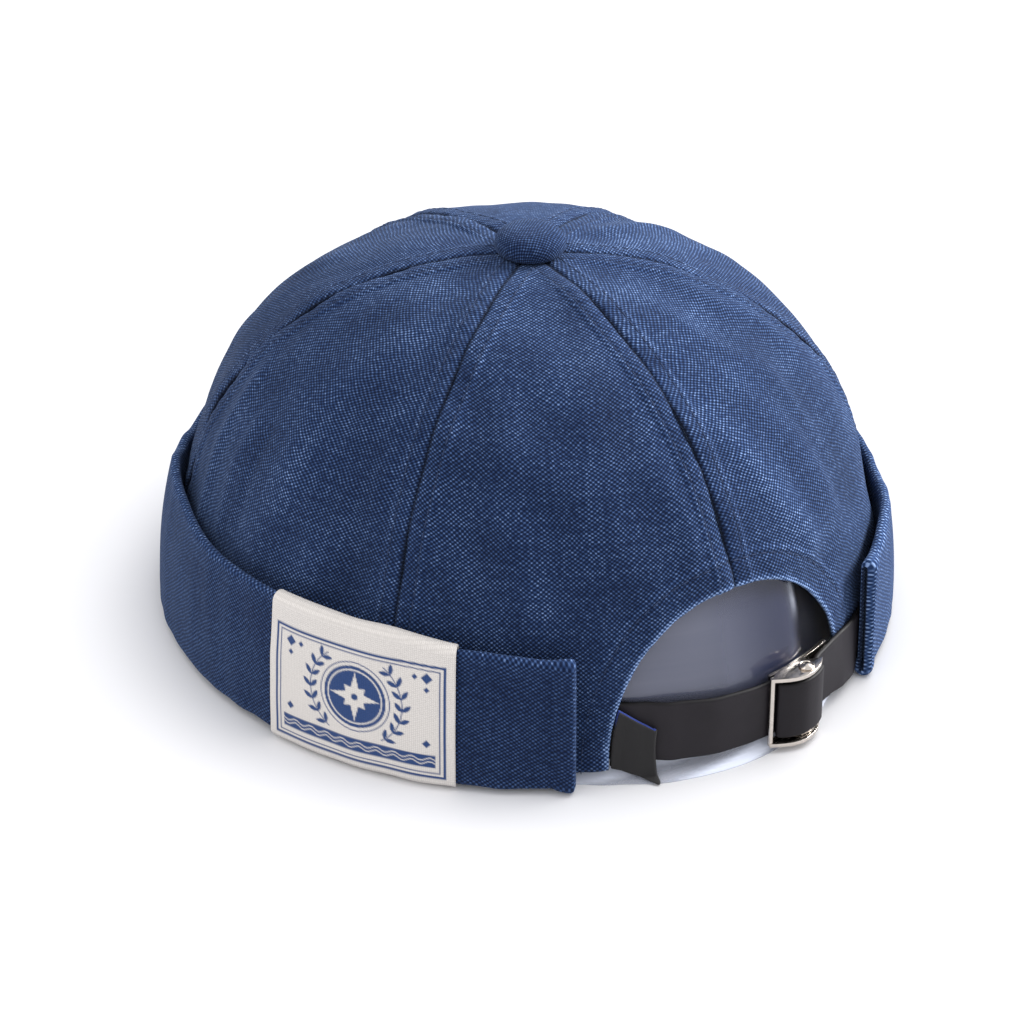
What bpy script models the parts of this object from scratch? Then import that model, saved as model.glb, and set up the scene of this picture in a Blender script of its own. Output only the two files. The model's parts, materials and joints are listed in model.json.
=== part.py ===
"""A brimless docker hat with its cuff turned up, standing on a surface.

The opening at the back faces +Y, the wearer's left side is +X, and the hat stands on z = 0.
Angles are in degrees and run from +Y towards +X.
"""
import math
from collections import namedtuple

import bmesh
import bpy
from mathutils import Vector

for item in list(bpy.data.objects):
    bpy.data.objects.remove(item, do_unlink=True)

# Driving sizes, in metres and degrees
CLEARANCE = 0.0003
CANVAS = 0.0011
SEAM_GAP = 0.0003

CROWN_HALF_WIDTH = 0.0903
CROWN_HALF_DEPTH = 0.0949
CROWN_HEIGHT = 0.1025
CROWN_LEAN_X = 0.0039
CROWN_LEAN_Y = 0.0077
CROWN_RISE = 2.7
CROWN_ROUND = 2.04
CROWN_SWAY_X = -0.0021
CROWN_SWAY_Y = -0.0025
CROWN_HEM = 0.0035
FOLD_FADE_FOOT = 0.25
FOLD_FADE_TOP = 12
BACK_SWELL = 0.0026
BACK_SWELL_SPAN = 35.0
GORE_SWELL = 0.0005
EYELET_RADIUS = 0.0060
ARCH_HALF_ANGLE = 22.8
ARCH_HEIGHT = 0.0465
ARCH_ROUND = 2.2

BUTTON_RADIUS = 0.0090
BUTTON_HEIGHT = 0.0044
BUTTON_EDGE = 0.0019
BUTTON_TUCK = 0.86
BUTTON_PLATE_RADIUS = 0.0078
BUTTON_PLATE = 0.0009
BUTTON_DOME = 0.9
BUTTON_SHOULDER = 0.75
BUTTON_FLAT = 0.12

CUFF_EASE = 0.0031
CUFF_FOOT = 0.0016
CUFF_HEIGHT = 0.0385
CUFF_LEAN = 0.0036
CUFF_SLIT = 0.0005
CUFF_HEM = 0.0036
CUFF_HEM_RADIUS = 0.0008
CUFF_END = 27.0
CUFF_BELLY = 0.8
CUFF_ROOM_ANGLE = -32.0
CUFF_ROOM_SPAN = 20.0

LABEL_ANGLE = 59.3
LABEL_WIDTH = 0.0515
LABEL_WALL = 0.0007
LABEL_LAP = 0.0035

STRAP_WIDTH = 0.0160
STRAP_WALL = 0.0014
STRAP_FOOT = 0.0040
LEFT_STRAP_END = 35.0
LEFT_STRAP_TAIL = -10.0

TAG_FOOT = 0.0040
TAG_TOP = 0.0200
TAG_WALL = 0.0006
TAG_SLIT = 0.0005
TAG_FOOT_WIDTH = 0.0103
TAG_TOP_WIDTH = 0.0082
TAG_FOOT_SLANT = 0.0035
TAG_TOP_SLANT = 0.0055

INSERT_WALL = 0.0008
INSERT_GAP = 0.0008
INSERT_HEIGHT = 0.0540
INSERT_FLARE = 0.0040
INSERT_FLARE_HEIGHT = 0.0032
INSERT_SWELL = 0.0024
INSERT_SWELL_ANGLE = -3.0
INSERT_SWELL_SPAN = 19.0
INSERT_DIP_ANGLE = 28.0
INSERT_DIP_SPAN = 17.0
INSERT_LAP_ANGLE = -13.0
INSERT_LAP = 16.0

BUCKLE_METAL = 0.0010
BUCKLE_BAR_RADIUS = 0.0007
BUCKLE_PIN_RADIUS = 0.00065
BUCKLE_HEAD_RADIUS = 0.0015
BUCKLE_HEAD = 0.0005
CHEEK_TIP_ANGLE = -12.2
CHEEK_FRONT = 0.195
CHEEK_BACK = 0.140
BUCKLE_BAR_ANGLE = -2.9
BUCKLE_PIN_ANGLE = -8.4
BASE_METAL = 0.0005
BASE_START = -3.6
BASE_END = -16.5
BASE_LIP = 0.0004
BASE_MARGIN = 8.0
EAR_SPAN = 2.8

# The cuff's outer face in plan: at the back and front its two plies and the strap fill it,
# and at the sides it stands off the crown by its ease
CUFF_PLIES = 2 * CANVAS + CUFF_SLIT
CUFF_HALF_WIDTH = CROWN_HALF_WIDTH + CLEARANCE + CUFF_PLIES + CUFF_EASE
CUFF_HALF_DEPTH = CROWN_HALF_DEPTH + 3 * CLEARANCE + CUFF_PLIES + STRAP_WALL

# A fold runs from one place on the crown to another; spread and rise are shares of CROWN_HALF_WIDTH
Fold = namedtuple("Fold", "turn height to_turn to_height spread rise")
FOLDS = (
    Fold(-7, 0.84, -19, 0.47, 0.060, 0.016),
    Fold(17, 0.97, 14, 0.80, 0.050, -0.010),
    Fold(84, 0.80, 86, 0.44, 0.075, 0.010),
    Fold(70, 0.72, 66, 0.40, 0.070, -0.008),
    Fold(-40, 0.80, -38, 0.45, 0.090, -0.010),
    Fold(-57, 0.66, -54, 0.50, 0.070, 0.008),
    Fold(128, 0.75, 132, 0.45, 0.100, -0.010),
    Fold(205, 0.80, 212, 0.45, 0.110, -0.012),
    Fold(-82, 0.95, -88, 0.86, 0.060, 0.010),
    Fold(-56, 0.38, -64, 0.22, 0.120, -0.016),
)

# The cuff at an angle: height is a share of CUFF_HEIGHT, lean a share of CUFF_LEAN
CuffRow = namedtuple("CuffRow", "angle height lean")
CUFF_ROWS = (
    CuffRow(-27, 0.84, 0.15),
    CuffRow(-42, 0.87, 0.60),
    CuffRow(-58, 0.83, 1.30),
    CuffRow(-75, 0.84, 1.50),
    CuffRow(-95, 0.90, 1.40),
    CuffRow(-140, 0.97, 1.20),
    CuffRow(180, 0.95, 1.10),
    CuffRow(155, 0.86, 1.40),
    CuffRow(142, 0.82, 1.60),
    CuffRow(131, 0.89, 1.50),
    CuffRow(122, 0.98, 1.35),
    CuffRow(110, 1.00, 1.35),
    CuffRow(90, 0.99, 0.85),
    CuffRow(72, 1.01, 0.70),
    CuffRow(54, 1.01, 0.75),
    CuffRow(43, 0.97, 0.60),
    CuffRow(27, 0.92, 0.45),
)

# The insert's rim on the surface: reach beyond the crown, a share of INSERT_FLARE
RimRow = namedtuple("RimRow", "angle reach")
RIM_ROWS = (
    RimRow(-44, -0.40),
    RimRow(-22, -0.15),
    RimRow(-16, 0.25),
    RimRow(-9, 0.85),
    RimRow(3, 1.00),
    RimRow(13, 0.95),
    RimRow(21, 0.55),
    RimRow(28, 0.25),
    RimRow(44, -0.40),
    RimRow(180, -0.40),
)

# The left strap's inner face: reach beyond the crown at its top and foot, shares of STRAP_WALL
StrapRow = namedtuple("StrapRow", "angle top foot drop")
LEFT_STRAP_ROWS = (
    StrapRow(-16, 1.15, 0.60, 0.0),
    StrapRow(-3, 1.15, 0.60, 0.0),
    StrapRow(5, 0.85, 0.75, 0.3),
    StrapRow(12, -0.20, 0.35, 0.7),
    StrapRow(17, -1.50, -1.00, 0.9),
    StrapRow(21, -2.15, -2.15, 1.0),
    StrapRow(36, -2.20, -2.20, 1.0),
)
LEFT_STRAP_LIFT = 0.0013
RIGHT_STRAP_LIFT = -0.0015

# The right strap on its way to the buckle: its middle line's reach beyond the crown and its foot's
# reach beyond its top, shares of STRAP_WALL
RouteRow = namedtuple("RouteRow", "angle reach drop flare")
RIGHT_STRAP_ROWS = (
    RouteRow(-35.0, 0.73, 1.0, 0.0),
    RouteRow(-31.0, 0.73, 1.0, 0.0),
    RouteRow(-27.5, 0.78, 0.9, 0.2),
    RouteRow(-24.5, 1.15, 0.8, 0.9),
    RouteRow(-21.0, 1.20, 0.5, 1.0),
    RouteRow(-18.0, 1.22, 0.0, 0.4),
    RouteRow(-15.0, 1.34, 0.0, 0.0),
    RouteRow(-13.5, 1.55, 0.0, 0.0),
    RouteRow(-12.0, 2.15, 0.0, 0.0),
)

# The strap's end round the buckle's pin: reach from the lap behind the pin at 0 to its front at 1
LoopRow = namedtuple("LoopRow", "angle reach")
LOOP_ROWS = (
    LoopRow(-10.4, -0.08),
    LoopRow(-9.3, 0.00),
    LoopRow(-6.8, 0.00),
    LoopRow(-5.0, 0.02),
    LoopRow(-4.1, 0.16),
    LoopRow(-4.5, 0.42),
    LoopRow(-5.7, 0.76),
    LoopRow(-7.5, 1.00),
    LoopRow(-9.4, 0.92),
    LoopRow(-10.8, 0.70),
    LoopRow(-11.9, 0.42),
)


PLATEAU = 1.35


def bump(angle, middle, span):
    """A smooth rise from 0 to 1 and back, round a middle angle."""
    gap = abs((angle - middle + 180) % 360 - 180) / span
    return math.cos(math.pi / 2 * gap) ** 2 if gap < 1 else 0.0


def plateau(angle, middle, span):
    """A bump with a flat top."""
    return min(PLATEAU * bump(angle, middle, span), 1.0)


def smooth(share):
    share = min(max(share, 0.0), 1.0)
    return share * share * (3 - 2 * share)


def mix(low, high, share):
    return low + (high - low) * share


def row_at(rows, angle):
    """A table's values at an angle, read smoothly between its rows all the way round."""
    rows = sorted(rows, key=lambda row: row.angle % 360)
    angle = angle % 360
    after = next((k for k, row in enumerate(rows) if row.angle % 360 > angle), 0)
    low, high = rows[after - 1], rows[after]
    span = (high.angle - low.angle) % 360 or 360
    share = smooth(((angle - low.angle) % 360) / span)
    return [mix(a, b, share) for a, b in zip(low[1:], high[1:])]


def place(angle, radius, z):
    turn = math.radians(angle)
    return Vector((radius * math.sin(turn), radius * math.cos(turn), z))


def ellipse_radius(side, depth, angle):
    turn = math.radians(angle)
    return 1 / math.hypot(math.sin(turn) / side, math.cos(turn) / depth)


# The crown's outer face
def fold_rise(turn, share, rho):
    """How far the folds push the crown's face out, a share of CROWN_HALF_WIDTH."""
    total = 0.0
    tall = CROWN_HEIGHT / CROWN_HALF_WIDTH
    for fold in FOLDS:
        run = Vector((math.radians(fold.to_turn - fold.turn) * rho, (fold.to_height - fold.height) * tall))
        away = (turn - fold.turn + 180) % 360 - 180
        here = Vector((math.radians(away) * rho, (share - fold.height) * tall))
        along = min(max(here.dot(run) / run.length_squared, 0.0), 1.0)
        total += fold.rise * math.exp(-(((here - run * along).length / fold.spread) ** 2))
    return total


def crown_point(turn, share):
    """A point of the crown's outer face, at a turn round its axis and a share of its height."""
    rho = max(1 - share ** CROWN_RISE, 0.0) ** (1 / CROWN_ROUND)
    angle = math.radians(turn)
    sway = 4 * share * (1 - share)
    swell = BACK_SWELL * bump(turn, 0.0, BACK_SWELL_SPAN)
    swell -= GORE_SWELL * math.cos(6 * angle) * math.sin(math.pi * share) ** 0.5
    fade = smooth(share / FOLD_FADE_FOOT) * (1 - share ** FOLD_FADE_TOP)
    swell += CROWN_HALF_WIDTH * fold_rise(turn, share, rho) * fade
    swell += sway * (CROWN_SWAY_X * math.sin(angle) + CROWN_SWAY_Y * math.cos(angle))
    x = (CROWN_HALF_WIDTH + swell) * rho * math.sin(angle) + CROWN_LEAN_X * share
    y = (CROWN_HALF_DEPTH + swell) * rho * math.cos(angle) + CROWN_LEAN_Y * share
    return Vector((x, y, CROWN_HEIGHT * share))


def crown_rise(rise):
    """The share of the crown's height at a rise of 0 at the surface to 1 at the top."""
    return math.sin(math.pi / 2 * rise) ** (2 / CROWN_RISE)


def rise_at(height):
    return math.asin((height / CROWN_HEIGHT) ** (CROWN_RISE / 2)) / (math.pi / 2)


def crown_reach(angle, z):
    """Distance of the crown's outer face from the axis, at a true angle and a height."""
    turn = angle
    for _ in range(5):
        point = crown_point(turn, z / CROWN_HEIGHT)
        turn += angle - math.degrees(math.atan2(point.x, point.y))
    return math.hypot(point.x, point.y)


# Meshes
SHARP_EDGE = 40.0


def finish_mesh(name, mesh, material):
    bmesh.ops.recalc_face_normals(mesh, faces=mesh.faces)
    data = bpy.data.meshes.new(name)
    mesh.to_mesh(data)
    mesh.free()
    data.shade_smooth()
    data.set_sharp_from_angle(angle=math.radians(SHARP_EDGE))
    data.materials.append(material)
    piece = bpy.data.objects.new(name, data)
    bpy.context.scene.collection.objects.link(piece)
    return piece


def sweep(name, sections, material):
    """A solid through closed sections of equal length."""
    mesh = bmesh.new()
    rows = [[mesh.verts.new(point) for point in section] for section in sections]
    for low, high in zip(rows, rows[1:]):
        for k in range(len(low)):
            mesh.faces.new((low[k - 1], low[k], high[k], high[k - 1]))
    mesh.faces.new(rows[0])
    mesh.faces.new(rows[-1][::-1])
    return finish_mesh(name, mesh, material)


def shell(name, outer, inner, material):
    """A closed wall between two grids of points of the same size."""
    mesh = bmesh.new()
    top = [[mesh.verts.new(point) for point in row] for row in outer]
    base = [[mesh.verts.new(point) for point in row] for row in inner]
    rows, columns = len(top), len(top[0])
    for i in range(rows - 1):
        for j in range(columns - 1):
            for grid in (top, base):
                mesh.faces.new((grid[i][j], grid[i][j + 1], grid[i + 1][j + 1], grid[i + 1][j]))
    for i in range(rows - 1):
        for j in (0, columns - 1):
            mesh.faces.new((top[i][j], top[i + 1][j], base[i + 1][j], base[i][j]))
    for j in range(columns - 1):
        for i in (0, rows - 1):
            mesh.faces.new((top[i][j], top[i][j + 1], base[i][j + 1], base[i][j]))
    return finish_mesh(name, mesh, material)


def turned(name, profile, centre, material, sides):
    """A solid turned about a vertical axis from a profile of radius and height, flat at both ends."""
    sections = []
    for radius, z in profile:
        sections.append([centre + place(360 * k / sides, radius, z) for k in range(sides)])
    return sweep(name, sections, material)


def offset_line(points, distance):
    """A line of (radius, height) points moved sideways by a distance."""
    moved = []
    for k, point in enumerate(points):
        before, after = points[max(k - 1, 0)], points[min(k + 1, len(points) - 1)]
        run = Vector((after[0] - before[0], after[1] - before[1])).normalized()
        moved.append((point[0] - run.y * distance, point[1] + run.x * distance))
    return moved


def side_steps(points, distance):
    """A level step to the side of a line's run, at each of its points."""
    steps = []
    for k in range(len(points)):
        run = (points[min(k + 1, len(points) - 1)] - points[max(k - 1, 0)]).normalized()
        steps.append(Vector((run.y, -run.x, 0.0)) * distance)
    return steps


def band(points, wall):
    """The closed outline of a wall that follows a line of points."""
    return offset_line(points, wall / 2) + offset_line(points, -wall / 2)[::-1]


# Materials
def finish(name, colour, roughness, metallic=0.0, alpha=1.0):
    material = bpy.data.materials.new(name)
    material.use_nodes = True
    shader = material.node_tree.nodes["Principled BSDF"]
    shader.inputs["Base Color"].default_value = (*colour, 1.0)
    shader.inputs["Roughness"].default_value = roughness
    shader.inputs["Metallic"].default_value = metallic
    shader.inputs["Alpha"].default_value = alpha
    return material


canvas_blue = finish("canvas blue", (0.030, 0.077, 0.215), 0.9)
label_cotton = finish("label cotton", (0.79, 0.74, 0.68), 0.85)
tag_ribbon = finish("tag ribbon", (0.013, 0.012, 0.014), 0.8)
strap_leather = finish("strap leather", (0.045, 0.040, 0.044), 0.5)
buckle_nickel = finish("buckle nickel", (0.52, 0.48, 0.44), 0.25, metallic=1.0)
clear_plastic = finish("clear plastic", (0.78, 0.80, 0.88), 0.1, alpha=0.35)


# Crown of six gores
SEAMS = (0.0, 57.5, 120.0, 180.0, 240.0, 300.0, 360.0)
GORE_COLUMNS = 9
GORE_ROWS = 13
ARCH_COLUMNS = 7
BUTTON_STEPS = 7
BUTTON_SIDES = 28


def arch_turn(z):
    """The turn of the arch's left edge at a height."""
    share = min(max((z - CROWN_HEM) / (ARCH_HEIGHT - CROWN_HEM), 0.0), 1.0)
    return ARCH_HALF_ANGLE * (1 - share ** ARCH_ROUND) ** (1 / ARCH_ROUND)


def arch_point(share):
    """Turn and height of the arch's edge, from its top at 0 to its foot at 1."""
    turn = ARCH_HALF_ANGLE * math.sin(math.pi / 2 * share) ** (2 / ARCH_ROUND)
    rise = math.cos(math.pi / 2 * share) ** (2 / ARCH_ROUND)
    return turn, CROWN_HEM + (ARCH_HEIGHT - CROWN_HEM) * rise


def gore_foot(start, end):
    """Turn and height along the lower edge of a gore, round the arch where it has one."""
    if start >= SEAMS[1] and end <= SEAMS[5]:
        return [(mix(start, end, k / GORE_COLUMNS), CROWN_HEM) for k in range(GORE_COLUMNS + 1)]
    arch = [arch_point(k / ARCH_COLUMNS) for k in range(ARCH_COLUMNS + 1)]
    rest = GORE_COLUMNS - ARCH_COLUMNS + 2
    if start == SEAMS[0]:
        return arch + [(mix(ARCH_HALF_ANGLE, end, k / rest), CROWN_HEM) for k in range(1, rest + 1)]
    arch = [(end - turn, height) for turn, height in arch]
    return [(mix(start, end - ARCH_HALF_ANGLE, k / rest), CROWN_HEM) for k in range(rest)] + arch[::-1]


def crown_normal(turn, rise):
    step = 1e-3
    along = crown_point(turn + step, crown_rise(rise)) - crown_point(turn - step, crown_rise(rise))
    up = crown_point(turn, crown_rise(rise + step)) - crown_point(turn, crown_rise(rise - step))
    return up.cross(along).normalized()


def gore(name, start, end):
    foot = gore_foot(start, end)
    top_share = (1 - (EYELET_RADIUS / CROWN_HALF_WIDTH) ** CROWN_ROUND) ** (1 / CROWN_RISE)
    top_rise = rise_at(CROWN_HEIGHT * top_share)
    outer, inner = [], []
    for row in range(GORE_ROWS + 1):
        upper = row / GORE_ROWS
        outside, inside = [], []
        for k, (low_turn, low_height) in enumerate(foot):
            turn = mix(low_turn, mix(start, end, k / (len(foot) - 1)), upper)
            rise = mix(rise_at(low_height), top_rise, upper)
            edge = {0: 1, len(foot) - 1: -1}.get(k, 0)
            radius = CROWN_HALF_WIDTH * max(1 - crown_rise(rise) ** CROWN_RISE, 0.0) ** (1 / CROWN_ROUND)
            turn += edge * math.degrees(SEAM_GAP / 2 / radius)
            point = crown_point(turn, crown_rise(rise))
            outside.append(point)
            inside.append(point - crown_normal(turn, rise) * CANVAS)
        outer.append(outside)
        inner.append(inside)
    return shell(name, outer, inner, canvas_blue)


def add_crown():
    names = ("panel_back_left", "panel_left", "panel_front_left",
             "panel_front_right", "panel_right", "panel_back_right")
    return [gore(name, start, end) for name, start, end in zip(names, SEAMS, SEAMS[1:])]


def add_button():
    """A covered button, riveted through the hole where the gores meet."""
    centre = Vector((CROWN_LEAN_X, CROWN_LEAN_Y, 0.0))

    def face(radius):
        share = (1 - (radius / CROWN_HALF_WIDTH) ** CROWN_ROUND) ** (1 / CROWN_RISE)
        return CROWN_HEIGHT * share

    stem = EYELET_RADIUS - CLEARANCE - SEAM_GAP
    under = face(stem) - CANVAS - 2 * CLEARANCE
    foot = face(BUTTON_RADIUS) + 2 * CLEARANCE
    edge = foot + BUTTON_EDGE
    profile = [(BUTTON_PLATE_RADIUS, under - BUTTON_PLATE), (BUTTON_PLATE_RADIUS, under),
               (stem, under), (stem, face(stem) + CLEARANCE), (BUTTON_RADIUS * BUTTON_TUCK, foot),
               (BUTTON_RADIUS * (1 + BUTTON_TUCK) / 2, foot + BUTTON_EDGE * (1 - BUTTON_TUCK))]
    for k in range(BUTTON_STEPS):
        turn = math.pi / 2 * k / BUTTON_STEPS
        radius = BUTTON_RADIUS * math.cos(turn) ** BUTTON_SHOULDER
        profile.append((radius, edge + BUTTON_HEIGHT * math.sin(turn) ** BUTTON_DOME))
    profile.append((BUTTON_RADIUS * BUTTON_FLAT, edge + BUTTON_HEIGHT))
    return turned("top_button", profile, centre, canvas_blue, BUTTON_SIDES)


# Cuff and what wraps it
CUFF_STEPS = 46
FOLD_STEPS = 4
HEM_STEPS = 4
PLY_STEPS = 3
LABEL_STEPS = 9


def strap_room(angle):
    """Room that the cuff leaves for the right strap's end, which lies under it."""
    return (STRAP_WALL + 3 * CLEARANCE) * plateau(angle, CUFF_ROOM_ANGLE, CUFF_ROOM_SPAN)


def cuff_line(angle):
    """The middle line of the cuff's cloth: up the inner ply, over the fold, down and under the hem."""
    height, lean = row_at(CUFF_ROWS, angle)
    top = CUFF_FOOT + CUFF_HEIGHT * height
    spacing = CANVAS + CUFF_SLIT
    fold = spacing / 2
    bend = top - CANVAS / 2 - fold

    def outer(z):
        share = max(z - CUFF_FOOT, 0.0) / (top - CUFF_FOOT)
        plan = ellipse_radius(CUFF_HALF_WIDTH, CUFF_HALF_DEPTH, angle) - CANVAS / 2
        tight = crown_reach(angle, z) + CLEARANCE + CANVAS / 2 + spacing
        return max(plan - CUFF_LEAN * lean * share ** 2, tight)

    low = CUFF_FOOT + CUFF_HEM
    near = crown_reach(angle, low) + CLEARANCE + CANVAS / 2 + strap_room(angle)
    far = outer(bend) - spacing
    points = []
    for k in range(PLY_STEPS + 1):
        share = k / PLY_STEPS
        z = mix(low, bend, share)
        above = smooth((z - STRAP_FOOT - STRAP_WIDTH) / (bend - STRAP_FOOT - STRAP_WIDTH))
        close = crown_reach(angle, z) + CLEARANCE + CANVAS / 2 + strap_room(angle) * (1 - above)
        points.append((min(max(mix(near, far, share ** CUFF_BELLY), close), outer(z) - spacing), z))
    for k in range(1, FOLD_STEPS + 1):
        turn = math.pi * k / FOLD_STEPS
        points.append((outer(bend) - fold - fold * math.cos(turn), bend + fold * math.sin(turn)))
    hem = CUFF_FOOT + CANVAS / 2 + CUFF_HEM_RADIUS
    for k in range(1, PLY_STEPS + 1):
        z = mix(bend, hem, k / PLY_STEPS)
        points.append((outer(z), z))
    for k in range(1, HEM_STEPS + 1):
        turn = math.pi * k / HEM_STEPS
        radius = outer(hem) - CUFF_HEM_RADIUS + CUFF_HEM_RADIUS * math.cos(turn)
        points.append((radius, hem - CUFF_HEM_RADIUS * math.sin(turn)))
    points.append((outer(hem) - 2 * CUFF_HEM_RADIUS, CUFF_FOOT + CUFF_HEM - CLEARANCE))
    return points


def add_cuff():
    sections = []
    for k in range(CUFF_STEPS + 1):
        angle = mix(CUFF_END, 360 - CUFF_END, k / CUFF_STEPS)
        sections.append([place(angle, radius, z) for radius, z in band(cuff_line(angle), CANVAS)])
    return sweep("cuff", sections, canvas_blue)


def add_label():
    """The woven label, lapped over the cuff's top edge and under its foot."""
    half = math.degrees(LABEL_WIDTH / 2 / CUFF_HALF_WIDTH)
    lap = math.ceil(LABEL_LAP / (CUFF_HEIGHT / PLY_STEPS))
    sections = []
    for k in range(LABEL_STEPS + 1):
        angle = mix(LABEL_ANGLE - half, LABEL_ANGLE + half, k / LABEL_STEPS)
        line = cuff_line(angle)[PLY_STEPS - lap:-HEM_STEPS + 2]
        first, second = Vector(line[0]), Vector(line[1])
        line[0] = tuple(second + (first - second).normalized() * LABEL_LAP)
        outside = offset_line(line, CANVAS / 2 + CLEARANCE + LABEL_WALL / 2)
        sections.append([place(angle, radius, z) for radius, z in band(outside, LABEL_WALL)])
    return sweep("woven_label", sections, label_cotton)


# Straps
LEFT_STRAP_STEPS = 26
ROUTE_STEPS = 4


def strap_section(angle, inner_top, inner_foot, foot):
    top = foot + STRAP_WIDTH
    return [place(angle, inner_foot, foot), place(angle, inner_foot + STRAP_WALL, foot),
            place(angle, inner_top + STRAP_WALL, top), place(angle, inner_top, top)]


def left_strap_faces(angle):
    """The left strap's inner face at its top and foot, and its foot's height."""
    top, foot, drop = row_at(LEFT_STRAP_ROWS, angle)
    low = STRAP_FOOT + LEFT_STRAP_LIFT * drop
    outer_top = crown_reach(angle, low + STRAP_WIDTH) + STRAP_WALL * top
    outer_foot = crown_reach(angle, low) + STRAP_WALL * foot
    return outer_top, outer_foot, low


def add_left_strap():
    sections = []
    for k in range(LEFT_STRAP_STEPS + 1):
        angle = mix(LEFT_STRAP_END, LEFT_STRAP_TAIL, k / LEFT_STRAP_STEPS)
        sections.append(strap_section(angle, *left_strap_faces(angle)))
    return sweep("strap_left", sections, strap_leather)


def clamp_radius():
    """Outer face of the left strap where the buckle clamps it."""
    top, foot, _ = left_strap_faces(BUCKLE_BAR_ANGLE)
    return max(top, foot) + STRAP_WALL


def right_strap_route():
    """The right strap in plan: out from the cuff, behind the pin, round it and back over its front."""
    line = []
    for row in RIGHT_STRAP_ROWS:
        radius = crown_reach(row.angle, STRAP_FOOT + STRAP_WIDTH / 2) + STRAP_WALL * row.reach
        foot = STRAP_FOOT + RIGHT_STRAP_LIFT * row.drop
        line.append((place(row.angle, radius, 0.0), foot, STRAP_WALL * row.flare))
    lap = clamp_radius() + CLEARANCE + STRAP_WALL / 2
    front = lap + STRAP_WALL + 2 * (CLEARANCE + BUCKLE_PIN_RADIUS)
    for row in LOOP_ROWS:
        line.append((place(row.angle, mix(lap, front, row.reach), 0.0), STRAP_FOOT, 0.0))
    return line


def fine_route(route):
    """A smooth run of points, foot heights and flares through those of a route."""
    points = [stop[0] for stop in route]
    fine = []
    for k in range(len(points) - 1):
        a, b, c = points[max(k - 1, 0)], points[k], points[k + 1]
        d = points[min(k + 2, len(points) - 1)]
        for j in range(ROUTE_STEPS):
            t = j / ROUTE_STEPS
            curve = (b * 2 + (c - a) * t + (a * 2 - b * 5 + c * 4 - d) * t ** 2
                     + (b * 3 - a - c * 3 + d) * t ** 3) / 2
            fine.append((curve, mix(route[k][1], route[k + 1][1], t), mix(route[k][2], route[k + 1][2], t)))
    return fine + [route[-1]]


def add_right_strap():
    fine = fine_route(right_strap_route())
    sections = []
    for (point, foot, flare), side in zip(fine, side_steps([stop[0] for stop in fine], STRAP_WALL / 2)):
        out = point.normalized() * flare / 2
        low = point + out + Vector((0.0, 0.0, foot))
        high = point - out + Vector((0.0, 0.0, foot + STRAP_WIDTH))
        sections.append([low + side, low - side, high - side, high + side])
    return sweep("strap_right", sections, strap_leather)


# Tag
TAG_COLUMNS = 5
TAG_ROWS = 3


def tag_back(angle, z):
    """The radius that the tag lies on: the strap, or the insert above and below it."""
    top, foot, low = left_strap_faces(angle)
    share = min(max((z - low) / STRAP_WIDTH, 0.0), 1.0)
    strap = mix(foot, top, share) + STRAP_WALL + CLEARANCE
    return max(strap, insert_outer(angle, z) + CLEARANCE, crown_reach(angle, z) - CANVAS)


def tag_line(share):
    """The middle line of the folded ribbon, at a share of its height: out to its fold and back over itself."""
    z = mix(TAG_FOOT, TAG_TOP, share)
    root = crown_point(arch_turn(z), z / CROWN_HEIGHT)
    start = math.degrees(math.atan2(root.x, root.y) - 2 * CLEARANCE / CROWN_HALF_DEPTH)
    width = math.degrees(mix(TAG_FOOT_WIDTH, TAG_TOP_WIDTH, share) / CROWN_HALF_DEPTH)
    slant = mix(TAG_FOOT_SLANT, TAG_TOP_SLANT, share)
    pitch = TAG_WALL + TAG_SLIT
    spots = [(start - width * k / TAG_COLUMNS, z - slant * k / TAG_COLUMNS) for k in range(TAG_COLUMNS + 1)]
    fold_angle, fold_z = spots[-1]
    fold_radius = tag_back(fold_angle, fold_z) + (TAG_WALL + pitch) / 2
    line = [place(angle, tag_back(angle, low) + TAG_WALL / 2, low) for angle, low in spots]
    line.append(place(fold_angle - math.degrees(pitch / 2 / CROWN_HALF_DEPTH), fold_radius, fold_z))
    line += [place(angle, tag_back(angle, low) + TAG_WALL / 2 + pitch, low) for angle, low in spots[::-1]]
    return line


def add_tag():
    """A ribbon folded on itself, sewn at the arch's left edge and lying over the strap."""
    outer, inner = [], []
    for row in range(TAG_ROWS + 1):
        line = tag_line(row / TAG_ROWS)
        sides = side_steps(line, TAG_WALL / 2)
        outer.append([point + side for point, side in zip(line, sides)])
        inner.append([point - side for point, side in zip(line, sides)])
    return shell("side_tag", outer, inner, tag_ribbon)


# Shaping insert
INSERT_STEPS = 62
RIM_STEP = 0.4


def insert_outer(angle, z):
    """Outer face of the insert: under the crown, out behind the straps and flared at its rim."""
    under = CANVAS + INSERT_GAP + CANVAS * z / CROWN_HEIGHT
    tail = CANVAS + STRAP_WALL + 3 * CLEARANCE
    body = mix(under, max(tail, under), plateau(angle, INSERT_DIP_ANGLE, INSERT_DIP_SPAN))
    above = smooth((z - STRAP_FOOT - STRAP_WIDTH) / (ARCH_HEIGHT - STRAP_FOOT - STRAP_WIDTH))
    swell = INSERT_SWELL * plateau(angle, INSERT_SWELL_ANGLE, INSERT_SWELL_SPAN) * (1 - above)
    reach = crown_reach(angle, z) - body + swell
    if BASE_END - BASE_MARGIN < angle < ARCH_HALF_ANGLE:
        top, foot, low = left_strap_faces(angle)
        share = min(max((z - low) / STRAP_WIDTH, 0.0), 1.0)
        reach = min(reach, mix(foot, top, share) - CLEARANCE - room_for_base(angle))
    rim, = row_at(RIM_ROWS, angle)
    flare = max(1 - z / INSERT_FLARE_HEIGHT, 0.0)
    edge = crown_reach(angle, 0.0) + INSERT_FLARE * rim
    return mix(reach, max(edge, reach), flare)


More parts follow.
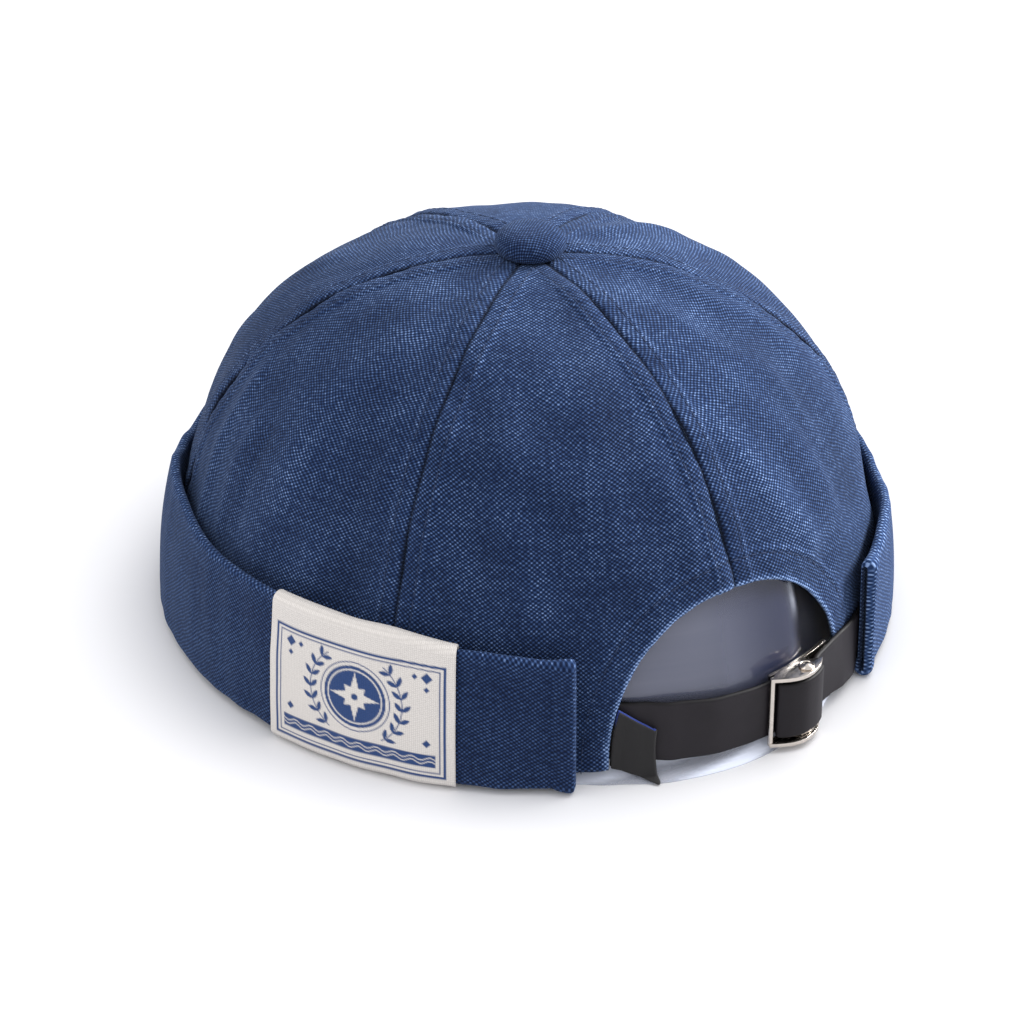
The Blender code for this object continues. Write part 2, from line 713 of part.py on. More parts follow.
def room_for_base(angle):
    """Room that the insert leaves for the buckle's base plate behind the left strap."""
    span = (BASE_START - BASE_END) / 2 + BASE_MARGIN
    return (BASE_METAL + 2 * CLEARANCE) * plateau(angle, (BASE_START + BASE_END) / 2, span)


def add_insert():
    strap_top = STRAP_FOOT + STRAP_WIDTH
    heights = (0.0, RIM_STEP * INSERT_FLARE_HEIGHT, INSERT_FLARE_HEIGHT, STRAP_FOOT + STRAP_WIDTH / 2,
               strap_top, mix(strap_top, INSERT_HEIGHT, 1 / 3), mix(strap_top, INSERT_HEIGHT, 2 / 3),
               INSERT_HEIGHT)
    total = 360 + INSERT_LAP
    sections = []
    for k in range(INSERT_STEPS + 1):
        travel = total * k / INSERT_STEPS
        angle = (INSERT_LAP_ANGLE - INSERT_LAP + travel + 180) % 360 - 180
        under = (INSERT_WALL + CLEARANCE) * smooth((travel - 360 + INSERT_LAP) / INSERT_LAP)
        outline = []
        for z in heights:
            outline.append((insert_outer(angle, z) - under, z))
        outline += [(radius - INSERT_WALL, z) for radius, z in outline[::-1]]
        sections.append([place(angle, radius, z) for radius, z in outline])
    return sweep("shaping_insert", sections, clear_plastic)


# Buckle
BASE_STEPS = 14
CHEEK_STEPS = 9
METAL_SIDES = 14


def buckle_sizes():
    """Heights and radii that the buckle's pieces share."""
    clamp = clamp_radius()
    low = STRAP_FOOT - CLEARANCE - BASE_METAL
    high = STRAP_FOOT + STRAP_WIDTH + CLEARANCE + BASE_METAL
    bar = clamp + CLEARANCE + BUCKLE_BAR_RADIUS
    pin = clamp + 2 * CLEARANCE + STRAP_WALL + BUCKLE_PIN_RADIUS
    return low, high, bar, pin


def hide_tool(tool):
    tool.hide_render = True
    tool.display_type = "WIRE"


def combine(piece, tool, operation):
    cut = piece.modifiers.new(operation.lower(), "BOOLEAN")
    cut.object = tool
    cut.operation = operation
    hide_tool(tool)


def pin_hole(name, low, high):
    _, _, _, pin = buckle_sizes()
    radius = BUCKLE_PIN_RADIUS + CLEARANCE
    centre = place(BUCKLE_PIN_ANGLE, pin, 0.0)
    return turned(name, ((radius, low), (radius, high)), centre, buckle_nickel, METAL_SIDES)


def add_base():
    """The clamp's back plate behind the left strap, with an ear over and under the straps."""
    low, high, _, pin = buckle_sizes()
    sections = []
    for k in range(BASE_STEPS + 1):
        angle = mix(BASE_START, BASE_END, k / BASE_STEPS)
        top, foot, _ = left_strap_faces(angle)
        outer = min(top, foot) - CLEARANCE
        inner = outer - BASE_METAL
        ear = pin + BUCKLE_HEAD_RADIUS - outer
        reach = outer + mix(BASE_LIP, ear, smooth(plateau(angle, BUCKLE_PIN_ANGLE, EAR_SPAN)))
        outline = [(inner, low), (reach, low), (reach, low + BASE_METAL), (outer, low + BASE_METAL),
                   (outer, high - BASE_METAL), (reach, high - BASE_METAL), (reach, high), (inner, high)]
        sections.append([place(angle, radius, z) for radius, z in outline])
    base = sweep("buckle_base", sections, buckle_nickel)
    combine(base, pin_hole("base_hole", low - BASE_METAL, high + BASE_METAL), "DIFFERENCE")
    return base


def cheek(name, low):
    """One almond-shaped cheek of the buckle's frame, with its pointed end at the bar."""
    _, _, bar, pin = buckle_sizes()
    start = place(BUCKLE_BAR_ANGLE, bar, 0.0)
    tip = place(CHEEK_TIP_ANGLE, pin, 0.0)
    length = (tip - start).length
    along = (tip - start) / length
    out = Vector((-along.y, along.x, 0.0))
    if out.dot(tip) < 0:
        out = -out
    start -= along * BUCKLE_BAR_RADIUS
    outline = []
    for k in range(CHEEK_STEPS):
        share = k / CHEEK_STEPS
        belly = length * CHEEK_FRONT * math.sin(math.pi * share) + BUCKLE_BAR_RADIUS
        outline.append(start + along * length * share + out * belly)
    for k in range(CHEEK_STEPS):
        share = 1 - k / CHEEK_STEPS
        belly = length * CHEEK_BACK * math.sin(math.pi * share)
        outline.append(start + along * length * share - out * belly)
    sections = [[point + Vector((0.0, 0.0, z)) for point in outline] for z in (low, low + BUCKLE_METAL)]
    return sweep(name, sections, buckle_nickel)


def add_frame():
    """Two cheeks and the bar that clamps the left strap."""
    low, high, bar, _ = buckle_sizes()
    floor = low - CLEARANCE - BUCKLE_METAL
    roof = high + CLEARANCE
    centre = place(BUCKLE_BAR_ANGLE, bar, 0.0)
    inset = BUCKLE_METAL / 4
    span = ((BUCKLE_BAR_RADIUS, floor + inset), (BUCKLE_BAR_RADIUS, roof + BUCKLE_METAL - inset))
    frame = turned("buckle_frame", span, centre, buckle_nickel, METAL_SIDES)
    combine(frame, cheek("cheek_top", roof), "UNION")
    combine(frame, cheek("cheek_foot", floor), "UNION")
    combine(frame, pin_hole("frame_hole", floor - BUCKLE_METAL, roof + 2 * BUCKLE_METAL), "DIFFERENCE")
    return frame


def add_pin():
    low, high, _, pin = buckle_sizes()
    floor = low - 2 * CLEARANCE - BUCKLE_METAL
    roof = high + 2 * CLEARANCE + BUCKLE_METAL
    head, shaft = BUCKLE_HEAD_RADIUS, BUCKLE_PIN_RADIUS
    flat = head - BUCKLE_HEAD
    profile = ((flat, floor - BUCKLE_HEAD), (head, floor - BUCKLE_HEAD / 2), (head, floor),
               (shaft, floor), (shaft, roof), (head, roof), (head, roof + BUCKLE_HEAD / 2),
               (flat, roof + BUCKLE_HEAD))
    centre = place(BUCKLE_PIN_ANGLE, pin, 0.0)
    return turned("buckle_pin", profile, centre, buckle_nickel, METAL_SIDES)


def settle(pieces):
    """Stands the hat on z = 0 with the middle of its box over the origin."""
    axis = bpy.data.objects.new("hat_axis", None)
    bpy.context.scene.collection.objects.link(axis)
    corners = []
    for piece in pieces:
        corners += [vertex.co.copy() for vertex in piece.data.vertices]
    low = [min(corner[k] for corner in corners) for k in range(3)]
    high = [max(corner[k] for corner in corners) for k in range(3)]
    axis.location = (-(low[0] + high[0]) / 2, -(low[1] + high[1]) / 2, -low[2])
    for item in [item for item in bpy.data.objects if item.type == "MESH"]:
        item.parent = axis


pieces = add_crown()
pieces += [add_button(), add_cuff(), add_label(), add_left_strap(), add_right_strap()]
pieces += [add_tag(), add_insert(), add_base(), add_frame(), add_pin()]
settle(pieces)
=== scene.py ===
"""The looks of a brimless docker hat: washed canvas, a woven label, a leather strap and a nickel buckle.

The opening at the back faces +Y and the wearer's left side is +X. Angles are in degrees from +Y towards +X.
"""
import json
import math
from collections import namedtuple

import bmesh
import bpy
import numpy as np
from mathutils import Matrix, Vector

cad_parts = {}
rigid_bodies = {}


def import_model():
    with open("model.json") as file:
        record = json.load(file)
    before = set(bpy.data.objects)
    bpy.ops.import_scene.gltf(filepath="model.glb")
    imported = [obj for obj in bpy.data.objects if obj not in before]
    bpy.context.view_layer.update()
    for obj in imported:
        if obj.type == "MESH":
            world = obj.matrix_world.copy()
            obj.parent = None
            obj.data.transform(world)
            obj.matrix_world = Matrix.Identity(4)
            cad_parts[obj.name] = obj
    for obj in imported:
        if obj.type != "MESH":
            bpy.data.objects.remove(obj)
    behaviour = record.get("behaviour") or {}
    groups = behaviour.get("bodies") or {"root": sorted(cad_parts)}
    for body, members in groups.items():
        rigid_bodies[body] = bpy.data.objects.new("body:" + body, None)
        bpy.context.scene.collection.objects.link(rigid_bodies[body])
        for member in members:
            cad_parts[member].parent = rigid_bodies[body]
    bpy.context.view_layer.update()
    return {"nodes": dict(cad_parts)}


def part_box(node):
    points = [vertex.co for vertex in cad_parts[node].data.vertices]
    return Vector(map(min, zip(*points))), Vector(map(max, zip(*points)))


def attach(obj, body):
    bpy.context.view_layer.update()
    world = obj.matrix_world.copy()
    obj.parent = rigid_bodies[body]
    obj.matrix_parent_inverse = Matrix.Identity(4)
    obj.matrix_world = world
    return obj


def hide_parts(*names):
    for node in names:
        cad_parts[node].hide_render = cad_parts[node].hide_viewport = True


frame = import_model()

# The hat's own sizes, in metres and degrees, as its construction has them
MM = 0.001
CLEARANCE = 0.0003
CANVAS = 0.0011

CROWN_HALF_WIDTH = 0.0903
CROWN_HALF_DEPTH = 0.0949
CROWN_HEIGHT = 0.1025
CROWN_LEAN_X = 0.0039
CROWN_LEAN_Y = 0.0077
CROWN_RISE = 2.7
CROWN_ROUND = 2.04
CROWN_SWAY_X = -0.0021
CROWN_SWAY_Y = -0.0025
CROWN_HEM = 0.0035
FOLD_FADE_FOOT = 0.25
FOLD_FADE_TOP = 12
BACK_SWELL = 0.0026
BACK_SWELL_SPAN = 35.0
GORE_SWELL = 0.0005
EYELET_RADIUS = 0.0060
ARCH_HALF_ANGLE = 22.8
ARCH_HEIGHT = 0.0465
ARCH_ROUND = 2.2
SEAMS = (0.0, 57.5, 120.0, 180.0, 240.0, 300.0, 360.0)

BUTTON_RADIUS = 0.0090
BUTTON_HEIGHT = 0.0044
BUTTON_EDGE = 0.0019
BUTTON_TUCK = 0.86
BUTTON_PLATE_RADIUS = 0.0078
BUTTON_PLATE = 0.0009

CUFF_EASE = 0.0031
CUFF_FOOT = 0.0016
CUFF_HEIGHT = 0.0385
CUFF_LEAN = 0.0036
CUFF_SLIT = 0.0005
CUFF_HEM = 0.0036
CUFF_HEM_RADIUS = 0.0008
CUFF_END = 27.0
CUFF_BELLY = 0.8
CUFF_ROOM_ANGLE = -32.0
CUFF_ROOM_SPAN = 20.0

LABEL_ANGLE = 59.3
LABEL_WIDTH = 0.0515
LABEL_WALL = 0.0007
LABEL_LAP = 0.0035

STRAP_WIDTH = 0.0160
STRAP_WALL = 0.0014
STRAP_FOOT = 0.0040
LEFT_STRAP_END = 35.0
LEFT_STRAP_TAIL = -10.0

TAG_FOOT = 0.0040
TAG_TOP = 0.0200
TAG_WALL = 0.0006
TAG_SLIT = 0.0005
TAG_FOOT_WIDTH = 0.0103
TAG_TOP_WIDTH = 0.0082
TAG_FOOT_SLANT = 0.0035
TAG_TOP_SLANT = 0.0055

INSERT_WALL = 0.0008
INSERT_GAP = 0.0008
INSERT_HEIGHT = 0.0540
INSERT_FLARE = 0.0040
INSERT_FLARE_HEIGHT = 0.0032
INSERT_SWELL = 0.0024
INSERT_SWELL_ANGLE = -3.0
INSERT_SWELL_SPAN = 19.0
INSERT_DIP_ANGLE = 28.0
INSERT_DIP_SPAN = 17.0
INSERT_LAP_ANGLE = -13.0
INSERT_LAP = 16.0

BUCKLE_PIN_RADIUS = 0.00065
BUCKLE_BAR_ANGLE = -2.9
BASE_METAL = 0.0005
BASE_START = -3.6
BASE_END = -16.5
BASE_MARGIN = 8.0

CUFF_PLIES = 2 * CANVAS + CUFF_SLIT
CUFF_HALF_WIDTH = CROWN_HALF_WIDTH + CLEARANCE + CUFF_PLIES + CUFF_EASE
CUFF_HALF_DEPTH = CROWN_HALF_DEPTH + 3 * CLEARANCE + CUFF_PLIES + STRAP_WALL

# The pieces are worked out round the cuff's axis and moved to where the frame has it
SHIFT = np.array((0.0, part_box("cuff")[0].y + CUFF_HALF_DEPTH, 0.0))

# A fold runs from one place on the crown to another; spread and rise are shares of CROWN_HALF_WIDTH
Fold = namedtuple("Fold", "turn height to_turn to_height spread rise")
FOLDS = (
    Fold(-7, 0.84, -19, 0.47, 0.060, 0.016),
    Fold(17, 0.97, 14, 0.80, 0.050, -0.010),
    Fold(84, 0.80, 86, 0.44, 0.075, 0.010),
    Fold(70, 0.72, 66, 0.40, 0.070, -0.008),
    Fold(-40, 0.80, -38, 0.45, 0.090, -0.010),
    Fold(-57, 0.66, -54, 0.50, 0.070, 0.008),
    Fold(128, 0.75, 132, 0.45, 0.100, -0.010),
    Fold(205, 0.80, 212, 0.45, 0.110, -0.012),
    Fold(-82, 0.95, -88, 0.86, 0.060, 0.010),
    Fold(-56, 0.38, -64, 0.22, 0.120, -0.016),
)

# The cuff at an angle: height is a share of CUFF_HEIGHT, lean a share of CUFF_LEAN
CuffRow = namedtuple("CuffRow", "angle height lean")
CUFF_ROWS = (
    CuffRow(-27, 0.84, 0.15),
    CuffRow(-42, 0.87, 0.60),
    CuffRow(-58, 0.83, 1.30),
    CuffRow(-75, 0.84, 1.50),
    CuffRow(-95, 0.90, 1.40),
    CuffRow(-140, 0.97, 1.20),
    CuffRow(180, 0.95, 1.10),
    CuffRow(155, 0.86, 1.40),
    CuffRow(142, 0.82, 1.60),
    CuffRow(131, 0.89, 1.50),
    CuffRow(122, 0.98, 1.35),
    CuffRow(110, 1.00, 1.35),
    CuffRow(90, 0.99, 0.85),
    CuffRow(72, 1.01, 0.70),
    CuffRow(54, 1.01, 0.75),
    CuffRow(43, 0.97, 0.60),
    CuffRow(27, 0.92, 0.45),
)

# The insert's rim on the surface: reach beyond the crown, a share of INSERT_FLARE
RimRow = namedtuple("RimRow", "angle reach")
RIM_ROWS = (
    RimRow(-44, -0.40),
    RimRow(-22, -0.15),
    RimRow(-16, 0.25),
    RimRow(-9, 0.85),
    RimRow(3, 1.00),
    RimRow(13, 0.95),
    RimRow(21, 0.55),
    RimRow(28, 0.25),
    RimRow(44, -0.40),
    RimRow(180, -0.40),
)

# The left strap's inner face: reach beyond the crown at its top and foot, shares of STRAP_WALL, and how
# far it is lifted, a share of LEFT_STRAP_LIFT
StrapRow = namedtuple("StrapRow", "angle top foot lift")
LEFT_STRAP_ROWS = (
    StrapRow(-16, 1.15, 0.60, 0.0),
    StrapRow(-3, 1.15, 0.60, 0.0),
    StrapRow(5, 0.85, 0.75, 0.3),
    StrapRow(12, -0.20, 0.35, 0.7),
    StrapRow(17, -1.50, -1.00, 0.9),
    StrapRow(21, -2.15, -2.15, 1.0),
    StrapRow(36, -2.20, -2.20, 1.0),
)
LEFT_STRAP_LIFT = 0.0013
RIGHT_STRAP_LIFT = -0.0015

# The right strap on its way to the buckle: its middle line's reach beyond the crown and its foot's
# reach beyond its top, shares of STRAP_WALL; its lift is a share of RIGHT_STRAP_LIFT
RouteRow = namedtuple("RouteRow", "angle reach lift flare")
RIGHT_STRAP_ROWS = (
    RouteRow(-35.0, 0.73, 1.0, 0.0),
    RouteRow(-31.0, 0.73, 1.0, 0.0),
    RouteRow(-27.5, 0.78, 0.9, 0.2),
    RouteRow(-24.5, 1.15, 0.8, 0.9),
    RouteRow(-21.0, 1.20, 0.5, 1.0),
    RouteRow(-18.0, 1.22, 0.0, 0.4),
    RouteRow(-15.0, 1.34, 0.0, 0.0),
    RouteRow(-13.5, 1.55, 0.0, 0.0),
    RouteRow(-12.0, 2.15, 0.0, 0.0),
)

# The strap's end round the buckle's pin: reach from the lap behind the pin at 0 to its front at 1
LoopRow = namedtuple("LoopRow", "angle reach")
LOOP_ROWS = (
    LoopRow(-10.4, -0.08),
    LoopRow(-9.3, 0.00),
    LoopRow(-6.8, 0.00),
    LoopRow(-5.0, 0.02),
    LoopRow(-4.1, 0.16),
    LoopRow(-4.5, 0.42),
    LoopRow(-5.7, 0.76),
    LoopRow(-7.5, 1.00),
    LoopRow(-9.4, 0.92),
    LoopRow(-10.8, 0.70),
    LoopRow(-11.9, 0.42),
)

# Shallow creases that only the cloth's face shows, read as folds are
CREASES = (
    Fold(110, 0.72, 107, 0.33, 0.030, 0.0060),
    Fold(101, 0.66, 99, 0.38, 0.022, 0.0040),
    Fold(95, 0.66, 94, 0.45, 0.020, -0.0035),
    Fold(48, 0.80, 44, 0.50, 0.050, -0.0045),
    Fold(36, 0.62, 33, 0.30, 0.045, 0.0040),
    Fold(8, 0.70, 4, 0.50, 0.045, 0.0035),
    Fold(-30, 0.72, -33, 0.50, 0.040, -0.0050),
    Fold(-25, 0.90, -34, 0.78, 0.040, 0.0045),
    Fold(-48, 0.90, -54, 0.70, 0.045, 0.0050),
    Fold(-66, 0.88, -70, 0.66, 0.045, -0.0050),
    Fold(-99, 0.96, -102, 0.86, 0.035, 0.0060),
    Fold(-112, 0.93, -118, 0.80, 0.050, -0.0060),
    Fold(150, 0.85, 154, 0.55, 0.060, 0.0050),
    Fold(232, 0.80, 236, 0.50, 0.060, 0.0050),
)

# How many times its tabled rise a crease stands on the cloth
CREASE_DEPTH = 1.6

# Soft waves of a cloth's face. Heights up the cloth count at a share, so a low one draws them out upwards.
Ripple = namedtuple("Ripple", "rise length share_up seed")
GORE_RIPPLES = (
    Ripple(0.30 * MM, 26 * MM, 1.0, 2),
    Ripple(0.09 * MM, 9 * MM, 0.3, 3),
)
ARCH_RIPPLES = (Ripple(0.10 * MM, 6 * MM, 1.0, 4),)
CUFF_RIPPLES = (
    Ripple(0.25 * MM, 26 * MM, 0.2, 71),
    Ripple(0.10 * MM, 9 * MM, 0.25, 72),
)
LABEL_RIPPLES = (Ripple(0.10 * MM, 14 * MM, 1.0, 81),)

# What sewing does to the cloth
SEAM_VALLEY = 0.0004
SEAM_VALLEY_WIDTH = 0.0006
SEAM_DIP = 0.6
SEAM_DIP_WIDTH = 0.0016
ALLOWANCE = 0.0047
ALLOWANCE_RISE = 0.00050
ALLOWANCE_SLOPE = 0.0014
SEAM_STITCH = 0.0042
STITCH_DIP = 0.4
STITCH_DIP_WIDTH = 0.0005
PUCKER_PITCH = 0.0055
PUCKER_WANDER = 0.030
PUCKER_SHIFT = 1.5
PUCKER = 0.00013
PUCKER_INSET = 0.0024
PUCKER_WIDTH = 0.0026
ARCH_HEM = 0.0080
ARCH_HEM_RISE = 0.0004
ARCH_STITCH = 0.0068
ARCH_HEM_SLOPE = 0.0010
ARCH_DIP = 0.5
ARCH_DIP_WIDTH = 0.0006
ARCH_RIPPLE_REACH = 0.0050
ARCH_EDGE_ROUND = 0.0008
STITCH_PITCH = 0.0029
STITCH_LENGTH = 0.0021
STITCH_RADIUS = 0.00017

# Sizes of the materials' patterns. A pair of canvas threads is as wide as the photograph shows it; the
# label's threads, the ribbon's ribs and the leather's pores are finer in life, and this coarse to show.
CROWN_THREAD = 1.34 * MM
BUTTON_THREAD = 1.15 * MM
CANVAS_PATCH = 16.667 * MM
LABEL_THREAD = 0.5 * MM
LABEL_FIBRE = 0.5556 * MM
LEATHER_PORE = 0.4545 * MM
LEATHER_PATCH = 7.143 * MM
RIBBON_RIB = 0.349 * MM
NICKEL_RUB = 1.111 * MM
THREAD_FIBRE = 0.4 * MM
SHEET_STREAK_LONG = 71.43 * MM
SHEET_STREAK_HIGH = 4.545 * MM


# Forms
def smooth(share):
    share = np.clip(share, 0.0, 1.0)
    return share * share * (3 - 2 * share)


def mix(low, high, share):
    return low + (high - low) * share


def bell(distance, width):
    return np.exp(-((distance / width) ** 2))


def bump(angle, middle, span):
    """A smooth rise from 0 to 1 and back, round a middle angle."""
    gap = np.abs((angle - middle + 180) % 360 - 180) / span
    return np.where(gap < 1, np.cos(np.pi / 2 * gap) ** 2, 0.0)


PLATEAU = 1.35


def plateau(angle, middle, span):
    """A bump with a flat top."""
    return np.minimum(PLATEAU * bump(angle, middle, span), 1.0)


def row_at(rows, angle):
    """A table's values at angles, read smoothly between its rows all the way round."""
    rows = sorted(rows, key=lambda row: row.angle % 360)
    marks = np.array([row.angle % 360 for row in rows])
    values = np.array([row[1:] for row in rows], float)
    angle = np.asarray(angle, float) % 360
    after = np.searchsorted(marks, angle, side="right") % len(rows)
    before = after - 1
    span = (marks[after] - marks[before]) % 360
    share = smooth(((angle - marks[before]) % 360) / span)
    return [mix(values[before, k], values[after, k], share) for k in range(values.shape[1])]


def place(angle, radius, z):
    turn = np.radians(angle)
    return np.stack(np.broadcast_arrays(radius * np.sin(turn), radius * np.cos(turn), z), axis=-1)


def ellipse_radius(side, depth, angle):
    turn = np.radians(angle)
    return 1 / np.hypot(np.sin(turn) / side, np.cos(turn) / depth)


def crowded(count, tight):
    """Shares from 0 to 1 that crowd towards both ends."""
    share = np.linspace(0, 1, count + 1)
    return share - tight * np.sin(2 * np.pi * share) / (2 * np.pi)


def waves(u, v, length, seed, count=7):
    """Soft random relief, mostly between -1 and 1, from a few crossing waves of about one length."""
    draw = np.random.default_rng(seed)
    total = 0.0
    for _ in range(count):
        way, phase = draw.uniform(0, 2 * np.pi, 2)
        size = length * draw.uniform(0.7, 1.5)
        total = total + np.sin(2 * np.pi * (u * np.cos(way) + v * np.sin(way)) / size + phase)
    return total / math.sqrt(count)


def rippled(ripples, u, v, seed=0):
    """How far a table of ripples lifts a cloth's face."""
    return sum(row.rise * waves(u, row.share_up * v, row.length, seed + row.seed) for row in ripples)


def unit(vectors):
    return vectors / np.linalg.norm(vectors, axis=-1, keepdims=True)


# The crown's face
def crown_radius(share):
    """The crown's radius at a share of its height, as a share of its radius at the foot."""
    return np.maximum(1 - share ** CROWN_RISE, 0.0) ** (1 / CROWN_ROUND)


def fold_rise(folds, turn, share, rho):
    """How far folds push the crown's face out, a share of CROWN_HALF_WIDTH."""
    total = 0.0
    tall = CROWN_HEIGHT / CROWN_HALF_WIDTH
    for fold in folds:
        run_x = np.radians(fold.to_turn - fold.turn) * rho
        run_y = (fold.to_height - fold.height) * tall
        here_x = np.radians((turn - fold.turn + 180) % 360 - 180) * rho
        here_y = (share - fold.height) * tall
        along = np.clip((here_x * run_x + here_y * run_y) / (run_x ** 2 + run_y ** 2), 0.0, 1.0)
        away = np.hypot(here_x - run_x * along, here_y - run_y * along)
        total = total + fold.rise * bell(away, fold.spread)
    return total


def crown_point(turn, share):
    """A point of the crown's outer face, at a turn round its axis and a share of its height."""
    rho = crown_radius(share)
    angle = np.radians(turn)
    sway = 4 * share * (1 - share)
    swell = BACK_SWELL * bump(turn, 0.0, BACK_SWELL_SPAN)
    swell = swell - GORE_SWELL * np.cos(6 * angle) * np.sin(np.pi * share) ** 0.5
    fade = smooth(share / FOLD_FADE_FOOT) * (1 - share ** FOLD_FADE_TOP)
    swell = swell + CROWN_HALF_WIDTH * fold_rise(FOLDS, turn, share, rho) * fade
    swell = swell + sway * (CROWN_SWAY_X * np.sin(angle) + CROWN_SWAY_Y * np.cos(angle))
    x = (CROWN_HALF_WIDTH + swell) * rho * np.sin(angle) + CROWN_LEAN_X * share
    y = (CROWN_HALF_DEPTH + swell) * rho * np.cos(angle) + CROWN_LEAN_Y * share
    return np.stack(np.broadcast_arrays(x, y, CROWN_HEIGHT * share), axis=-1)


def crown_rise(rise):
    """The share of the crown's height at a rise of 0 at the surface to 1 at the top."""
    return np.sin(np.pi / 2 * rise) ** (2 / CROWN_RISE)


def rise_at(height):
    return np.arcsin((height / CROWN_HEIGHT) ** (CROWN_RISE / 2)) / (np.pi / 2)


def crown_normal(turn, rise):
    step = 1e-3
    along = crown_point(turn + step, crown_rise(rise)) - crown_point(turn - step, crown_rise(rise))
    up = crown_point(turn, crown_rise(rise + step)) - crown_point(turn, crown_rise(rise - step))
    return unit(np.cross(up, along))


def crown_reach(angle, z):
    """Distance of the crown's outer face from the axis, at a true angle and a height."""
    angle, z = np.broadcast_arrays(np.asarray(angle, float), np.asarray(z, float))
    turn = angle
    for _ in range(5):
        point = crown_point(turn, z / CROWN_HEIGHT)
        away = angle - np.degrees(np.arctan2(point[..., 0], point[..., 1]))
        turn = turn + (away + 180) % 360 - 180
    return np.hypot(point[..., 0], point[..., 1])


MERIDIAN_STEPS = crown_rise(np.linspace(0, 1, 400))
MERIDIAN_RADIUS = (CROWN_HALF_WIDTH + CROWN_HALF_DEPTH) / 2


def meridian(share):
    """Length over the crown from its foot up to a share of its height."""
    run = np.diff(MERIDIAN_RADIUS * crown_radius(MERIDIAN_STEPS))
    lengths = np.cumsum(np.hypot(run, np.diff(CROWN_HEIGHT * MERIDIAN_STEPS)))
    return np.interp(share, MERIDIAN_STEPS, np.concatenate(((0.0,), lengths)))


# Meshes
def add_object(name, data):
    thing = bpy.data.objects.new(name, data)
    bpy.context.scene.collection.objects.link(thing)
    return thing


def dress(piece, node=None):
    """Joins a piece to the hat's one body, in place of a solid where it has one."""
    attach(piece, "root")
    if node:
        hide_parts(node)


def made_plain(thing):
    """The finished mesh of an object whose modifiers are live; the object itself goes."""
    bpy.context.view_layer.update()
    mesh = bpy.data.meshes.new_from_object(thing.evaluated_get(bpy.context.evaluated_depsgraph_get()))
    mesh.transform(thing.matrix_world.copy())
    bpy.data.objects.remove(thing, do_unlink=True)
    return mesh


def make_piece(name, points, faces, material, uv, marks=None):
    """A piece of mesh with the cloth's own coordinates and its marks at every point."""
    mesh = bpy.data.meshes.new(name)
    corners = points[faces]
    spokes = np.cross(corners[:, 1] - corners[:, 0], corners[:, 2] - corners[:, 0])
    spokes = spokes + np.cross(corners[:, 2] - corners[:, 0], corners[:, -1] - corners[:, 0])
    if np.sum(corners[:, 0] * spokes) < 0:
        faces = faces[:, ::-1]
    # A face at a pole names one point twice, and becomes a triangle
    rings = [list(dict.fromkeys(face)) for face in faces.tolist()]
    mesh.from_pydata((points + SHIFT).tolist(), [], rings)
    layer = mesh.uv_layers.new(name="weave")
    layer.data.foreach_set("uv", uv[[corner for ring in rings for corner in ring]].ravel())
    for mark, values in (marks or {}).items():
        attribute = mesh.attributes.new(mark, "FLOAT", "POINT")
        attribute.data.foreach_set("value", np.asarray(values, np.float32).ravel())
    mesh.shade_smooth()
    mesh.materials.append(material)
    return add_object(name, mesh)


def wall(name, outer, inner, material, uv, marks):
    """A closed wall between two grids of points; uv and marks hold for both faces."""
    rows, columns = outer.shape[:2]
    k = np.arange(rows * columns).reshape(rows, columns)
    face = np.stack((k[:-1, :-1], k[:-1, 1:], k[1:, 1:], k[1:, :-1]), axis=-1).reshape(-1, 4)
    edge = np.concatenate((k[0, :-1], k[:-1, -1], k[-1, :0:-1], k[:0:-1, 0]))
    after = np.roll(edge, -1)
    rim = np.stack((after, edge, edge + k.size, after + k.size), axis=-1)
    faces = np.concatenate((face, face[:, ::-1] + k.size, rim))
    points = np.concatenate((outer.reshape(-1, 3), inner.reshape(-1, 3)))
    uv = np.concatenate((uv.reshape(-1, 2), uv.reshape(-1, 2)))
    both = {}
    for mark, values in marks.items():
        front, back = values if isinstance(values, tuple) else (values, values)
        both[mark] = np.concatenate((np.broadcast_to(front, k.shape).ravel(),
                                     np.broadcast_to(back, k.shape).ravel()))
    return make_piece(name, points, faces, material, uv, both)


def lathe(name, profile, centre, sides, material):
    """A solid turned about a vertical axis; the profile's first and last points lie on the axis."""
    angles = 360 * np.arange(sides) / sides
    radii, heights = np.array(profile[1:-1]).T
    rings = place(angles[None, :], radii[:, None], heights[:, None]) + centre
    k = np.arange(rings.shape[0] * sides).reshape(-1, sides)
    turned = np.roll(k, -1, axis=1)
    sides_of = np.stack((k[:-1], turned[:-1], turned[1:], k[1:]), axis=-1).reshape(-1, 4)
    first, last = k.size, k.size + 1
    start = np.stack((turned[0], k[0], np.full(sides, first), np.full(sides, first)), axis=-1)
    end = np.stack((k[-1], turned[-1], np.full(sides, last), np.full(sides, last)), axis=-1)
    ends = np.array([centre + (0, 0, profile[0][1]), centre + (0, 0, profile[-1][1])])
    points = np.concatenate((rings.reshape(-1, 3), ends))
    spread = travel(np.array(profile))[1:-1, None, None] * place(angles, 1.0, 0.0)[None, :, :2]
    uv = np.concatenate((spread.reshape(-1, 2), np.zeros((2, 2))))
    return make_piece(name, points, np.concatenate((sides_of, start, end)), material, uv)


def edge_round(distance, half):
    """How thick a wall with a rounded edge is near that edge, a share of its whole."""
    share = np.clip(distance / half, 0.0, 1.0)
    return np.sqrt(1 - (1 - share) ** 2 * 0.99)


def cloth_faces(angle, radius, z, out, back):
    """The two faces of a cloth, at their offsets from its middle line."""
    run_r, run_z = np.gradient(radius, axis=-1), np.gradient(z, axis=-1)
    length = np.hypot(run_r, run_z)
    return [place(angle[:, None], radius - run_z / length * step, z + run_r / length * step)
            for step in (out, back)]


